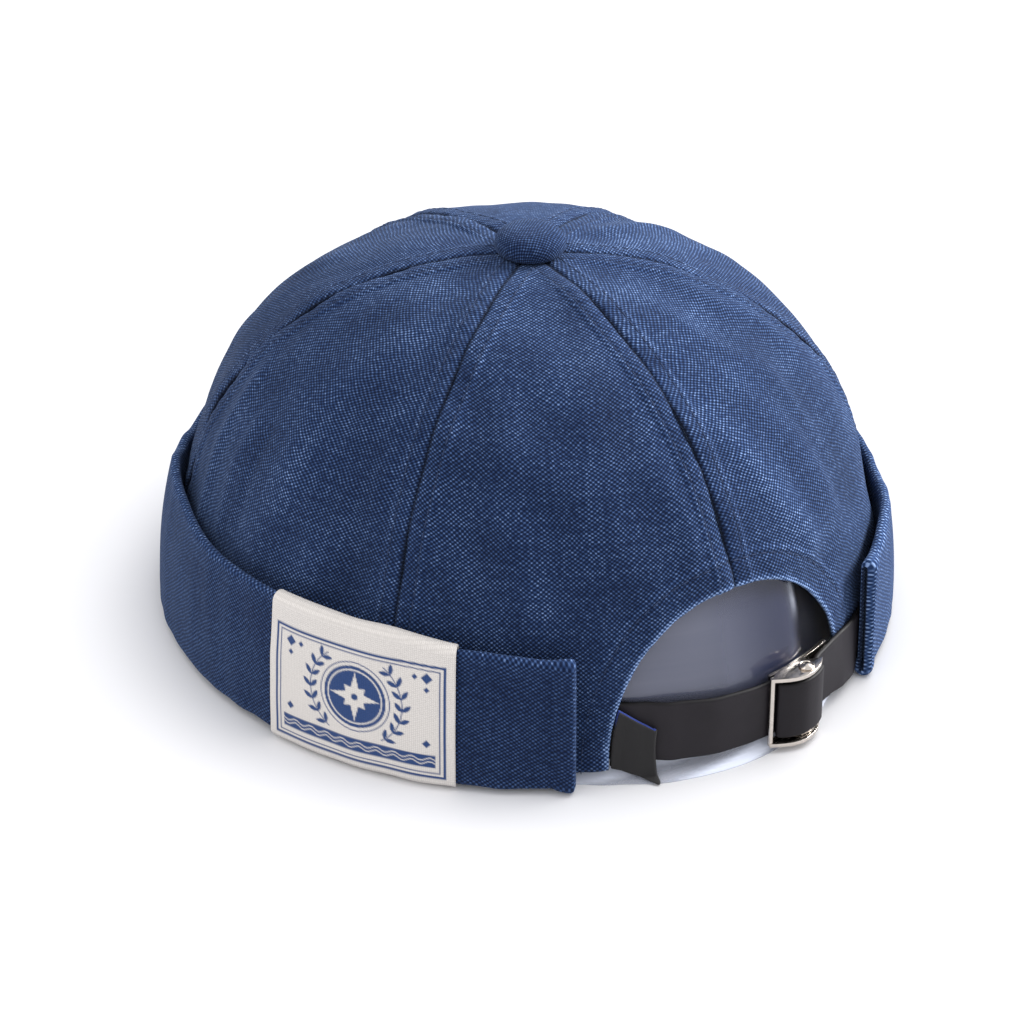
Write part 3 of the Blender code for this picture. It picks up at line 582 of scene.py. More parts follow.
def travel(points):
    """Length along each line of points, from its first."""
    steps = np.linalg.norm(np.diff(points, axis=-2), axis=-1)
    return np.concatenate((0 * steps[..., :1], np.cumsum(steps, axis=-1)), axis=-1)


# Materials
def linear(code):
    """A colour of sRGB hex as linear values."""
    values = [int(code[k:k + 2], 16) / 255 for k in (1, 3, 5)]
    return [v / 12.92 if v <= 0.04045 else ((v + 0.055) / 1.055) ** 2.4 for v in values] + [1.0]


def feed(node, inputs):
    """Gives inputs of a node a value, or links them to a socket or to a node's first output in use."""
    for key, value in dict(inputs).items():
        if isinstance(value, bpy.types.Node):
            value = next(socket for socket in value.outputs if socket.enabled)
        if isinstance(value, bpy.types.NodeSocket):
            node.id_data.links.new(value, node.inputs[key])
        else:
            node.inputs[key].default_value = value


def add_node(tree, kind, inputs=(), **settings):
    """Adds a node with its settings and its links."""
    node = tree.nodes.new(kind)
    for name, value in settings.items():
        setattr(node, name, value)
    feed(node, inputs)
    return node


def start_material(name):
    material = bpy.data.materials.new(name)
    material.use_nodes = True
    return material, material.node_tree, material.node_tree.nodes["Principled BSDF"]


def woven_canvas(name, thread, contrast, relief, lift):
    """Washed cotton canvas in a plain weave: pale crowns of thread over dark gaps, worn paler on edges, with
    painted highlight and painted shade mixed into its colour.
    """
    material, tree, shader = start_material(name)
    weave = add_node(tree, "ShaderNodeUVMap", uv_map="weave")
    wander = add_node(tree, "ShaderNodeTexNoise", {"Vector": weave, "Scale": 0.16 / thread, "Detail": 3.0})
    bent = add_node(tree, "ShaderNodeVectorMath",
                    {0: wander.outputs["Color"], 1: (1.3 * thread,) * 3, 2: weave}, operation="MULTIPLY_ADD")
    turns = (2.0 * math.pi / thread, 2.4 * math.pi / thread, 0)
    phase = add_node(tree, "ShaderNodeVectorMath", {0: bent, 1: turns}, operation="MULTIPLY")
    crests = add_node(tree, "ShaderNodeVectorMath", {0: phase}, operation="SINE")
    axes = add_node(tree, "ShaderNodeSeparateXYZ", {0: crests}).outputs
    cross = add_node(tree, "ShaderNodeMath", {0: axes["X"], 1: axes["Y"]}, operation="MULTIPLY")
    grains = add_node(tree, "ShaderNodeMapRange", {"Value": cross, "From Min": -0.45})
    floats = add_node(tree, "ShaderNodeMath", {0: grains, 1: 0.75}, operation="POWER")

    # Patches of wear, thicker threads running both ways, and each crossing a little lighter or darker
    uneven = 0.0
    for weight, scale_u, scale_v, detail in ((0.6, 1 / CANVAS_PATCH, 1 / CANVAS_PATCH, 5),
                                             (0.35, 0.04 / thread, 0.5 / thread, 2),
                                             (0.35, 0.5 / thread, 0.03 / thread, 2),
                                             (1.4, 1 / thread, 1 / thread, 1)):
        way = add_node(tree, "ShaderNodeMapping", {"Vector": weave, "Scale": (scale_u, scale_v, 1)})
        noise = add_node(tree, "ShaderNodeTexNoise", {"Vector": way, "Scale": 1.0, "Detail": detail})
        uneven = add_node(tree, "ShaderNodeMath", {0: noise, 1: weight, 2: uneven}, operation="MULTIPLY_ADD")
    tone = add_node(tree, "ShaderNodeMapRange",
                    {"Value": uneven, "From Min": 0.95, "From Max": 1.75, "To Min": 0.55, "To Max": 1.30})
    lit = add_node(tree, "ShaderNodeMath", {0: floats, 1: tone}, operation="MULTIPLY")
    share = add_node(tree, "ShaderNodeMapRange", {"Value": lit, "To Min": lift, "To Max": lift + contrast})
    # The first mark holds real wear together with painted highlight and makes the colour paler; the second
    # is painted shade and makes it darker
    wear_and_light, shade = (add_node(tree, "ShaderNodeAttribute", attribute_name=mark).outputs["Fac"]
                   for mark in ("wear_and_light", "shade"))
    worn_and_lit = add_node(tree, "ShaderNodeMath", {0: wear_and_light, 1: 0.5, 2: share}, operation="MULTIPLY_ADD")
    ramp = add_node(tree, "ShaderNodeValToRGB", {"Fac": worn_and_lit})
    ramp.color_ramp.elements[0].color = linear("#060b18")
    ramp.color_ramp.elements[1].color = linear("#7f98c3")
    for position, code in ((0.30, "#0e1b38"), (0.60, "#25395e"), (0.82, "#415880")):
        ramp.color_ramp.elements.new(position).color = linear(code)
    # Painted shade: a dark blue mixed in where the shade mark is
    colour = add_node(tree, "ShaderNodeMix", {"Factor": shade, 6: ramp, 7: linear("#060a18")},
                      data_type="RGBA")
    raised = add_node(tree, "ShaderNodeBump", {"Height": share, "Strength": 0.9, "Distance": relief})
    feed(shader, {"Base Color": colour, "Normal": raised, "Roughness": 0.95, "Specular IOR Level": 0.12,
                  "Sheen Weight": 0.14, "Sheen Roughness": 0.5, "Sheen Tint": linear("#9ab4e0")})
    return material


def label_weave():
    """Cotton damask label: a fine cream ground with blue threads where the design is woven in."""
    material, tree, shader = start_material("woven label cotton")
    weave = add_node(tree, "ShaderNodeUVMap", uv_map="weave")
    phase = add_node(tree, "ShaderNodeVectorMath", {0: weave, "Scale": math.pi / LABEL_THREAD},
                     operation="SCALE")
    crests = add_node(tree, "ShaderNodeVectorMath", {0: phase}, operation="SINE")
    axes = add_node(tree, "ShaderNodeSeparateXYZ", {0: crests}).outputs
    both = add_node(tree, "ShaderNodeMath", {0: axes["X"], 1: axes["Y"]}, operation="MULTIPLY")
    cross = add_node(tree, "ShaderNodeMath", {0: both}, operation="ABSOLUTE")
    fibres = add_node(tree, "ShaderNodeTexNoise", {"Vector": weave, "Scale": 1 / LABEL_FIBRE, "Detail": 2})
    grain = add_node(tree, "ShaderNodeMath", {0: cross, 1: fibres}, operation="ADD")
    light = add_node(tree, "ShaderNodeMapRange",
                     {"Value": grain, "From Max": 1.6, "To Min": 0.74, "To Max": 1.04})
    design = add_node(tree, "ShaderNodeAttribute", attribute_name="design").outputs["Fac"]
    colour = add_node(tree, "ShaderNodeMix", {"Factor": design, 6: linear("#d3cec9"), 7: linear("#12386e")},
                      data_type="RGBA")
    lit = add_node(tree, "ShaderNodeVectorMath", {0: colour, "Scale": light}, operation="SCALE")
    height = add_node(tree, "ShaderNodeMath", {0: design, 1: -0.8, 2: cross}, operation="MULTIPLY_ADD")
    raised = add_node(tree, "ShaderNodeBump", {"Height": height, "Strength": 0.6, "Distance": 0.00012})
    feed(shader, {"Base Color": lit, "Normal": raised, "Roughness": 0.85, "Sheen Weight": 0.1})
    return material


def strap_leather(name, low, high):
    """Smooth dyed cowhide: a dark matt face with fine pores and a darker painted edge."""
    material, tree, shader = start_material(name)
    spot = add_node(tree, "ShaderNodeTexCoord").outputs["Object"]
    pores = add_node(tree, "ShaderNodeTexVoronoi", {"Vector": spot, "Scale": 1 / LEATHER_PORE})
    patches = add_node(tree, "ShaderNodeTexNoise", {"Vector": spot, "Scale": 1 / LEATHER_PATCH, "Detail": 3})
    edge = add_node(tree, "ShaderNodeAttribute", attribute_name="edge").outputs["Fac"]
    colour = linear(low)
    for share, code in ((patches, high), (edge, "#070608")):
        colour = add_node(tree, "ShaderNodeMix", {"Factor": share, 6: colour, 7: linear(code)},
                          data_type="RGBA")
    raised = add_node(tree, "ShaderNodeBump", {"Height": pores, "Strength": 0.25, "Distance": 0.00006})
    feed(shader, {"Base Color": colour, "Normal": raised, "Roughness": 0.55, "Specular IOR Level": 0.2})
    return material


def tag_ribbon():
    """Polyester ribbon in a close rib weave, black outside and blue where its lining shows."""
    material, tree, shader = start_material("tag ribbon")
    weave = add_node(tree, "ShaderNodeUVMap", uv_map="weave")
    # The bands of a wave texture lie pi / (10 * scale) apart
    scale = math.pi / (10 * RIBBON_RIB)
    ribs = add_node(tree, "ShaderNodeTexWave", {"Vector": weave, "Scale": scale, "Distortion": 0.6},
                    bands_direction="X").outputs["Fac"]
    lining = add_node(tree, "ShaderNodeAttribute", attribute_name="lining").outputs["Fac"]
    colour = linear("#0a090b")
    for share, code in ((ribs, "#121013"), (lining, "#33489a")):
        colour = add_node(tree, "ShaderNodeMix", {"Factor": share, 6: colour, 7: linear(code)},
                          data_type="RGBA")
    raised = add_node(tree, "ShaderNodeBump", {"Height": ribs, "Strength": 0.4, "Distance": 0.00006})
    feed(shader, {"Base Color": colour, "Normal": raised, "Roughness": 0.8, "Sheen Weight": 0.05})
    return material


def buckle_nickel():
    """Polished nickel plate: warm grey, bright, with fine marks from handling."""
    material, tree, shader = start_material("polished nickel")
    spot = add_node(tree, "ShaderNodeTexCoord").outputs["Object"]
    rubs = add_node(tree, "ShaderNodeTexNoise", {"Vector": spot, "Scale": 1 / NICKEL_RUB, "Detail": 4})
    rough = add_node(tree, "ShaderNodeMapRange", {"Value": rubs, "To Min": 0.14, "To Max": 0.34})
    colour = add_node(tree, "ShaderNodeMix", {"Factor": rubs, 6: linear("#b9b1a9"), 7: linear("#d8d0c8")},
                      data_type="RGBA")
    feed(shader, {"Base Color": colour, "Roughness": rough, "Metallic": 1.0})
    return material


def insert_plastic():
    """Clear PET sheet, glossy and faintly streaked, with a grey haze where it faces the light; painted shade
    darkens it towards its right, and painted highlight and reflection lighten its rim and one streak.
    """
    material, tree, shader = start_material("clear PET sheet")
    weave = add_node(tree, "ShaderNodeUVMap", uv_map="weave")
    scale = (1 / SHEET_STREAK_LONG, 1 / SHEET_STREAK_HIGH, 1)
    way = add_node(tree, "ShaderNodeMapping", {"Vector": weave, "Scale": scale})
    streaks = add_node(tree, "ShaderNodeTexNoise", {"Vector": way, "Scale": 1.0, "Detail": 3})
    haze, sheet_shade, painted_highlight = (add_node(tree, "ShaderNodeAttribute", attribute_name=mark).outputs["Fac"]
                       for mark in ("haze", "sheet_shade", "painted_highlight"))
    colour = linear("#565a6d")
    # Painted shade darkens the sheet towards its right; painted highlight and reflection lighten it at the
    # rim and along one streak
    for share, code in ((streaks, "#686b7c"), (sheet_shade, "#10193a"), (painted_highlight, "#dfe5f4")):
        colour = add_node(tree, "ShaderNodeMix", {"Factor": share, 6: colour, 7: linear(code)},
                          data_type="RGBA")
    feed(shader, {"Base Color": colour, "Alpha": haze, "Roughness": 0.12, "IOR": 1.57})
    return material


def sewing_thread():
    """Twisted cotton thread, dyed with the cloth and a little paler than its ground."""
    material, tree, shader = start_material("sewing thread")
    spot = add_node(tree, "ShaderNodeTexCoord").outputs["Object"]
    fibres = add_node(tree, "ShaderNodeTexNoise", {"Vector": spot, "Scale": 1 / THREAD_FIBRE, "Detail": 1})
    colour = add_node(tree, "ShaderNodeMix", {"Factor": fibres, 6: linear("#16233f"), 7: linear("#293b5e")},
                      data_type="RGBA")
    feed(shader, {"Base Color": colour, "Roughness": 0.95})
    return material


crown_canvas = woven_canvas("washed canvas", CROWN_THREAD, 0.74, 0.00034, lift=0.10)
cuff_canvas = woven_canvas("folded canvas", CROWN_THREAD, 0.66, 0.00032, lift=0.11)
button_canvas = woven_canvas("button canvas", BUTTON_THREAD, 0.74, 0.00030, lift=0.12)
woven_cotton = label_weave()
strap_hide = strap_leather("dyed leather", "#1b181c", "#252227")
# The right strap's leather is a darker copy of the same hide: painted shade
shaded_leather = strap_leather("dyed leather with painted shade", "#141115", "#1c191e")
ribbon = tag_ribbon()
nickel = buckle_nickel()
clear_sheet = insert_plastic()
thread_cotton = sewing_thread()


# Crown
GORE_COLUMNS = 108
GORE_ROWS = 150
SEAM_CROWDING = 0.72
FOOT_CROWDING = 0.45
TOP_FLAT_RADIUS = 8 * MM
TOP_FLAT_FADE = 12 * MM
ARCH_SHARE = 0.58
ARCH_POINTS = 160

# How the cloth is worn paler, made paler on fold ridges by painted highlight as well, and darkened by
# painted shade in seams, fold hollows and on its inner face, as shares of full wear and full shade
EVEN_WEAR = 0.07
PATCH_WEAR = 0.05
WORN_PATCH = 18 * MM
TOP_WEAR = 0.06
TOP_WORN = 0.80
# Fold ridges are paler by real wear and by painted highlight; fold hollows are darker by painted shade
RIDGE_WEAR_AND_HIGHLIGHT = 11.0
HOLLOW_SHADE = 15.0
DEEPEST_SHADE = 0.9
INSIDE_SHADE = 0.93

# Lines of wear and shade beside a seam or the arch's edge; inset and width in metres
Trace = namedtuple("Trace", "mark inset width strength")
SEAM_TRACES = (
    Trace("wear_and_light", 0.0012, 0.0007, 0.10),
    Trace("wear_and_light", ALLOWANCE, 0.0006, 0.20),
    Trace("shade", 0.0, 0.0005, 0.85),
    Trace("shade", SEAM_STITCH, 0.0004, 0.32),
)
ARCH_TRACES = (
    Trace("wear_and_light", 0.0, 0.0010, 1.20),
    Trace("wear_and_light", ARCH_HEM, 0.0007, 0.12),
    Trace("shade", ARCH_STITCH, 0.0004, 0.25),
)


def arch_turn(z):
    """The turn of the arch's left edge at a height."""
    share = np.clip((z - CROWN_HEM) / (ARCH_HEIGHT - CROWN_HEM), 0.0, 1.0)
    return ARCH_HALF_ANGLE * (1 - share ** ARCH_ROUND) ** (1 / ARCH_ROUND)


def arch_point(share):
    """Turn and height of the arch's edge, from its top at 0 to its foot at 1."""
    turn = ARCH_HALF_ANGLE * np.sin(np.pi / 2 * share) ** (2 / ARCH_ROUND)
    rise = np.maximum(np.cos(np.pi / 2 * share), 0.0) ** (2 / ARCH_ROUND)
    return turn, CROWN_HEM + (ARCH_HEIGHT - CROWN_HEM) * rise


def gore_foot(start, end, across):
    """Turn and height along the lower edge of a gore, round the arch where it has one."""
    if start != SEAMS[0] and end != SEAMS[-1]:
        return mix(start, end, across), np.full_like(across, CROWN_HEM)
    way = across if start == SEAMS[0] else 1 - across
    turn, height = arch_point(np.clip(way / ARCH_SHARE, 0.0, 1.0))
    beyond = np.clip((way - ARCH_SHARE) / (1 - ARCH_SHARE), 0.0, 1.0)
    turn = turn + (end - start - ARCH_HALF_ANGLE) * beyond
    return (turn, height) if start == SEAMS[0] else (end - turn, height)


def on_cloth(turn, share):
    """Lengths over the crown's cloth: round it from a turn of 0, and up it from its foot."""
    return np.radians(turn) * MERIDIAN_RADIUS * crown_radius(share), meridian(share)


def arch_line(count):
    """The arch's edge as lengths over the cloth."""
    turn, height = arch_point(np.linspace(0, 1, count))
    return on_cloth(turn, height / CROWN_HEIGHT)


def arch_distance(turn, share):
    """Distance over the cloth from the arch's edge."""
    u, v = on_cloth(np.abs((turn + 180) % 360 - 180), share)
    gaps = np.full(u.shape, 1.0)
    for edge_u, edge_v in zip(*arch_line(ARCH_POINTS)):
        gaps = np.minimum(gaps, np.hypot(u - edge_u, v - edge_v))
    return gaps


def seam_relief(distance, v, fade, seed):
    """How a seam shapes the cloth beside it: a valley, a raised allowance, a stitch line, puckers."""
    valley = bell(distance, SEAM_VALLEY_WIDTH) + SEAM_DIP * bell(distance, SEAM_DIP_WIDTH)
    raised = 1 - smooth((distance - ALLOWANCE) / ALLOWANCE_SLOPE)
    raised = raised - STITCH_DIP * bell(distance - SEAM_STITCH, STITCH_DIP_WIDTH)
    pull = np.sin(2 * np.pi * v / PUCKER_PITCH + PUCKER_SHIFT * waves(v, 0 * v, PUCKER_WANDER, seed))
    pucker = PUCKER * pull * bell(distance - PUCKER_INSET, PUCKER_WIDTH)
    return fade * (ALLOWANCE_RISE * raised + pucker) - SEAM_VALLEY * valley


def gore_places(start, end):
    """Turn, share of the height and rise of every point of a gore's grid."""
    across = crowded(GORE_COLUMNS, SEAM_CROWDING)
    up = np.linspace(0, 1, GORE_ROWS + 1)
    up = (up - FOOT_CROWDING * np.sin(np.pi * up) / np.pi)[:, None]
    top_share = (1 - (EYELET_RADIUS / CROWN_HALF_WIDTH) ** CROWN_ROUND) ** (1 / CROWN_RISE)
    top_rise = rise_at(CROWN_HEIGHT * top_share)
    foot_turn, foot_height = gore_foot(start, end, across)
    turn = mix(foot_turn, mix(start, end, across), up)
    rise = mix(rise_at(foot_height), top_rise, up)
    return turn, crown_rise(rise), rise


Cloth = namedtuple("Cloth", "u v left right edge relief")


def gore_cloth(turn, share, start, end, seed):
    """Places on a gore's cloth, their distances from its seams and the arch, and the relief there."""
    radius = MERIDIAN_RADIUS * crown_radius(share)
    u, v = on_cloth(turn - (start + end) / 2, share)
    v = np.broadcast_to(v, u.shape)
    left, right = np.radians(turn - start) * radius, np.radians(end - turn) * radius
    fade = smooth((radius - TOP_FLAT_RADIUS) / TOP_FLAT_FADE)
    relief = seam_relief(left, v, fade, seed) + seam_relief(right, v, fade, seed + 1)
    creases = CREASE_DEPTH * CROWN_HALF_WIDTH * fold_rise(CREASES, turn, share, crown_radius(share))
    relief = relief + fade * (creases + rippled(GORE_RIPPLES, u, v, seed))
    edge = np.full(u.shape, 1.0)
    if start == SEAMS[0] or end == SEAMS[-1]:
        edge = arch_distance(turn, share)
        hem = 1 - smooth((edge - ARCH_HEM) / ARCH_HEM_SLOPE)
        hem = hem - ARCH_DIP * bell(edge - ARCH_STITCH, ARCH_DIP_WIDTH)
        relief = relief + ARCH_HEM_RISE * hem
        relief = relief + bell(edge, ARCH_RIPPLE_REACH) * rippled(ARCH_RIPPLES, u, v, seed)
    return Cloth(u, v, left, right, edge, relief)


def traced(cloth, mark):
    """How strongly the lines of a mark show on a cloth."""
    places = ((SEAM_TRACES, cloth.left), (SEAM_TRACES, cloth.right), (ARCH_TRACES, cloth.edge))
    return sum(row.strength * bell(distance - row.inset, row.width)
               for traces, distance in places for row in traces if row.mark == mark)


def gore(name, node, start, end, seed):
    turn, share, rise = gore_places(start, end)
    cloth = gore_cloth(turn, share, start, end, seed)
    # Folds: ridges worn paler and also painted paler as highlight, hollows painted darker as shade
    folded = fold_rise(FOLDS + CREASES, turn, share, crown_radius(share))
    wear_and_light = traced(cloth, "wear_and_light") + RIDGE_WEAR_AND_HIGHLIGHT * np.maximum(folded, 0) + EVEN_WEAR
    wear_and_light = wear_and_light + TOP_WEAR * smooth((share - TOP_WORN) / (1 - TOP_WORN))
    wear_and_light = wear_and_light + PATCH_WEAR * waves(cloth.u, cloth.v, WORN_PATCH, seed + 5)
    shade = traced(cloth, "shade") + HOLLOW_SHADE * np.maximum(-folded, 0)
    thick = edge_round(cloth.edge, ARCH_EDGE_ROUND)
    normal = crown_normal(turn, rise)
    outer = crown_point(turn, share) + normal * (cloth.relief - (1 - thick) * CANVAS / 2)[..., None]
    inner = outer - normal * (CANVAS * thick)[..., None]
    piece = wall(name, outer, inner, crown_canvas, np.stack((cloth.u, cloth.v), axis=-1),
                 {"wear_and_light": np.clip(wear_and_light, 0, 1), "shade": (np.clip(shade, 0, DEEPEST_SHADE), INSIDE_SHADE)})
    dress(piece, node)


GORE_SIDES = ("back_left", "left", "front_left", "front_right", "right", "back_right")
GORE_SEED = 3
GORE_SEED_STEP = 10


def add_crown():
    for k, (side, start, end) in enumerate(zip(GORE_SIDES, SEAMS, SEAMS[1:])):
        gore("gore_" + side, "panel_" + side, start, end, GORE_SEED_STEP * k + GORE_SEED)


SEAM_STITCH_FOOT = 0.006
SEAM_STITCH_TOP = 0.985
ARCH_CLEAR = 0.52


def share_at(length):
    """The share of the crown's height at a length over the crown from its foot."""
    return np.interp(length, meridian(MERIDIAN_STEPS), MERIDIAN_STEPS)


def paced(turn, share):
    """Places a stitch apart on a line over the crown."""
    points = crown_point(turn, share)
    lengths = travel(points)
    stops = np.arange(STITCH_PITCH / 2, lengths[-1], STITCH_PITCH)
    return np.interp(stops, lengths, turn), np.interp(stops, lengths, share)


def stitch_lines():
    """Places and ways of the stitches: beside each seam, and inside the arch's edge."""
    spots, ways, ups = [], [], []
    shares = share_at(np.linspace(SEAM_STITCH_FOOT, SEAM_STITCH_TOP * float(meridian(0.999)), 300))
    aside = np.degrees(SEAM_STITCH / (MERIDIAN_RADIUS * crown_radius(shares)))
    edge_u, edge_v = arch_line(200)
    run = unit(np.stack((np.gradient(edge_u), np.gradient(edge_v)), axis=-1))
    arch_share = share_at(edge_v + run[:, 0] * ARCH_STITCH)
    arch_side = (edge_u - run[:, 1] * ARCH_STITCH) / (MERIDIAN_RADIUS * crown_radius(arch_share))
    for k, (start, end) in enumerate(zip(SEAMS, SEAMS[1:])):
        lines, arches = [], []
        for seam, way in ((start, 1), (end, -1)):
            at_arch = seam in (SEAMS[0], SEAMS[-1])
            sewn = shares > (ARCH_CLEAR if at_arch else 0.0)
            lines.append((seam + way * aside[sewn], shares[sewn]))
            if at_arch:
                arches.append((seam + way * np.degrees(arch_side), arch_share))
        for turn, share in lines + arches:
            turn, share = paced(turn, share)
            normal = crown_normal(turn, rise_at(CROWN_HEIGHT * share))
            relief = gore_cloth(turn, share, start, end, GORE_SEED_STEP * k + GORE_SEED).relief
            points = crown_point(turn, share) + normal * (relief + 0.3 * STITCH_RADIUS)[:, None]
            spots.append(points)
            ways.append(unit(np.gradient(points, axis=0)))
            ups.append(normal)
    return np.concatenate(spots) + SHIFT, np.concatenate(ways), np.concatenate(ups)


def stitch_tree():
    """Sets one stitch at each point, laid along the point's way and turned to the cloth's face."""
    tree = bpy.data.node_groups.new("stitches", "GeometryNodeTree")
    sockets = {}
    for name, kind in (("Geometry", "Geometry"), ("Length", "Float"), ("Radius", "Float"),
                       ("Material", "Material")):
        socket = tree.interface.new_socket(name, in_out="INPUT", socket_type="NodeSocket" + kind)
        sockets[name] = socket.identifier
    tree.interface.new_socket("Geometry", in_out="OUTPUT", socket_type="NodeSocketGeometry")
    group = tree.nodes.new("NodeGroupInput").outputs
    way, up = (add_node(tree, "GeometryNodeInputNamedAttribute", {"Name": name}, data_type="FLOAT_VECTOR")
               for name in ("way", "up"))
    along = add_node(tree, "FunctionNodeAlignEulerToVector", {"Vector": way}, axis="X")
    turned = add_node(tree, "FunctionNodeAlignEulerToVector", {"Rotation": along, "Vector": up}, axis="Z",
                      pivot_axis="X")
    ball = add_node(tree, "GeometryNodeMeshUVSphere", {"Segments": 8, "Rings": 5, "Radius": 1.0})
    half = add_node(tree, "ShaderNodeMath", {0: group["Length"], 1: 0.5}, operation="MULTIPLY")
    size = add_node(tree, "ShaderNodeCombineXYZ", {0: half, 1: group["Radius"], 2: group["Radius"]})
    uneven = add_node(tree, "FunctionNodeRandomValue", {"Min": 0.85, "Max": 1.12, "Seed": 5},
                      data_type="FLOAT")
    scale = add_node(tree, "ShaderNodeVectorMath", {0: size, "Scale": uneven}, operation="SCALE")
    points = add_node(tree, "GeometryNodeInstanceOnPoints",
                      {"Points": group["Geometry"], "Instance": ball, "Rotation": turned, "Scale": scale})
    real = add_node(tree, "GeometryNodeRealizeInstances", {"Geometry": points})
    painted = add_node(tree, "GeometryNodeSetMaterial", {"Geometry": real, "Material": group["Material"]})
    add_node(tree, "NodeGroupOutput", {0: painted})
    return tree, sockets


def add_stitches():
    """Cotton thread in the seams' topstitching and the arch's hem."""
    spots, ways, ups = stitch_lines()
    mesh = bpy.data.meshes.new("stitch places")
    mesh.from_pydata(spots.tolist(), [], [])
    for name, values in (("way", ways), ("up", ups)):
        attribute = mesh.attributes.new(name, "FLOAT_VECTOR", "POINT")
        attribute.data.foreach_set("vector", values.astype(np.float32).ravel())
    carrier = add_object("stitch places", mesh)
    tree, sockets = stitch_tree()
    modifier = carrier.modifiers.new("stitches", "NODES")
    modifier.node_group = tree
    for name, value in (("Length", STITCH_LENGTH), ("Radius", STITCH_RADIUS), ("Material", thread_cotton)):
        modifier[sockets[name]] = value
    sewn = made_plain(carrier)
    sewn.shade_smooth()
    dress(add_object("seam_stitches", sewn))


BUTTON_SIDES = 96
DOME_STEPS = 30
TUCK_STEPS = 8
DOME_SPREAD = 0.75
DOME_ROUND = 0.9
TUCK_ROUND = 0.8


def add_button():
    """A covered button: the cloth is drawn tight over the dome and gathered under its rim."""
    centre = np.array((CROWN_LEAN_X, CROWN_LEAN_Y, 0.0))

    def face(radius):
        share = (1 - (radius / CROWN_HALF_WIDTH) ** CROWN_ROUND) ** (1 / CROWN_RISE)
        return CROWN_HEIGHT * share

    stem = EYELET_RADIUS - 2 * CLEARANCE
    under = face(stem) - CANVAS - 2 * CLEARANCE
    foot = face(BUTTON_RADIUS) + 2 * CLEARANCE
    edge = foot + BUTTON_EDGE
    profile = [(0.0, edge + BUTTON_HEIGHT)]
    for k in range(1, DOME_STEPS + 1):
        turn = math.pi / 2 * (1 - k / DOME_STEPS)
        radius = BUTTON_RADIUS * math.cos(turn) ** DOME_SPREAD
        profile.append((radius, edge + BUTTON_HEIGHT * math.sin(turn) ** DOME_ROUND))
    for k in range(1, TUCK_STEPS + 1):
        turn = math.pi / 2 * k / TUCK_STEPS
        radius = BUTTON_RADIUS * mix(BUTTON_TUCK, 1, math.cos(turn) ** TUCK_ROUND)
        profile.append((radius, edge - BUTTON_EDGE * math.sin(turn)))
    profile += [(stem, face(stem) - CLEARANCE), (stem, under), (BUTTON_PLATE_RADIUS, under),
                (BUTTON_PLATE_RADIUS, under - BUTTON_PLATE), (0.0, under - BUTTON_PLATE)]
    dress(lathe("button_cover", profile, centre, BUTTON_SIDES, button_canvas), "top_button")


# Cuff
CUFF_STEPS = 430
CUFF_CROWDING = 0.6
PLY_STEPS = 30
FOLD_STEPS = 9
HEM_STEPS = 7
CUFF_END_HEM = 0.0058
CUFF_PUFF = 0.0014
CUFF_PUFF_INSET = 0.0015
CUFF_PUFF_WIDTH = 0.0040
CUFF_HEM_GROOVE = 0.0003
CUFF_GROOVE_WIDTH = 0.0007
CUFF_END_ROUND = 0.0013
INNER_SHADE = 0.8

# How far its worn places reach, the fold's in steps of its line and the ends' and the foot's in metres, and
# how far painted highlight reaches on its right end and its left side, in degrees
CUFF_FOLD_WORN = 5.0
CUFF_END_WORN = 0.0014
CUFF_FOOT_WORN = 0.0015
CUFF_RIGHT_LIGHT_REACH = 30.0
CUFF_LEFT_LIGHT_ANGLE = 125.0
CUFF_LEFT_LIGHT_REACH = 40.0


def strap_room(angle):
    """Room that the cuff leaves for the right strap's end, which lies under it."""
    return (STRAP_WALL + 3 * CLEARANCE) * plateau(angle, CUFF_ROOM_ANGLE, CUFF_ROOM_SPAN)


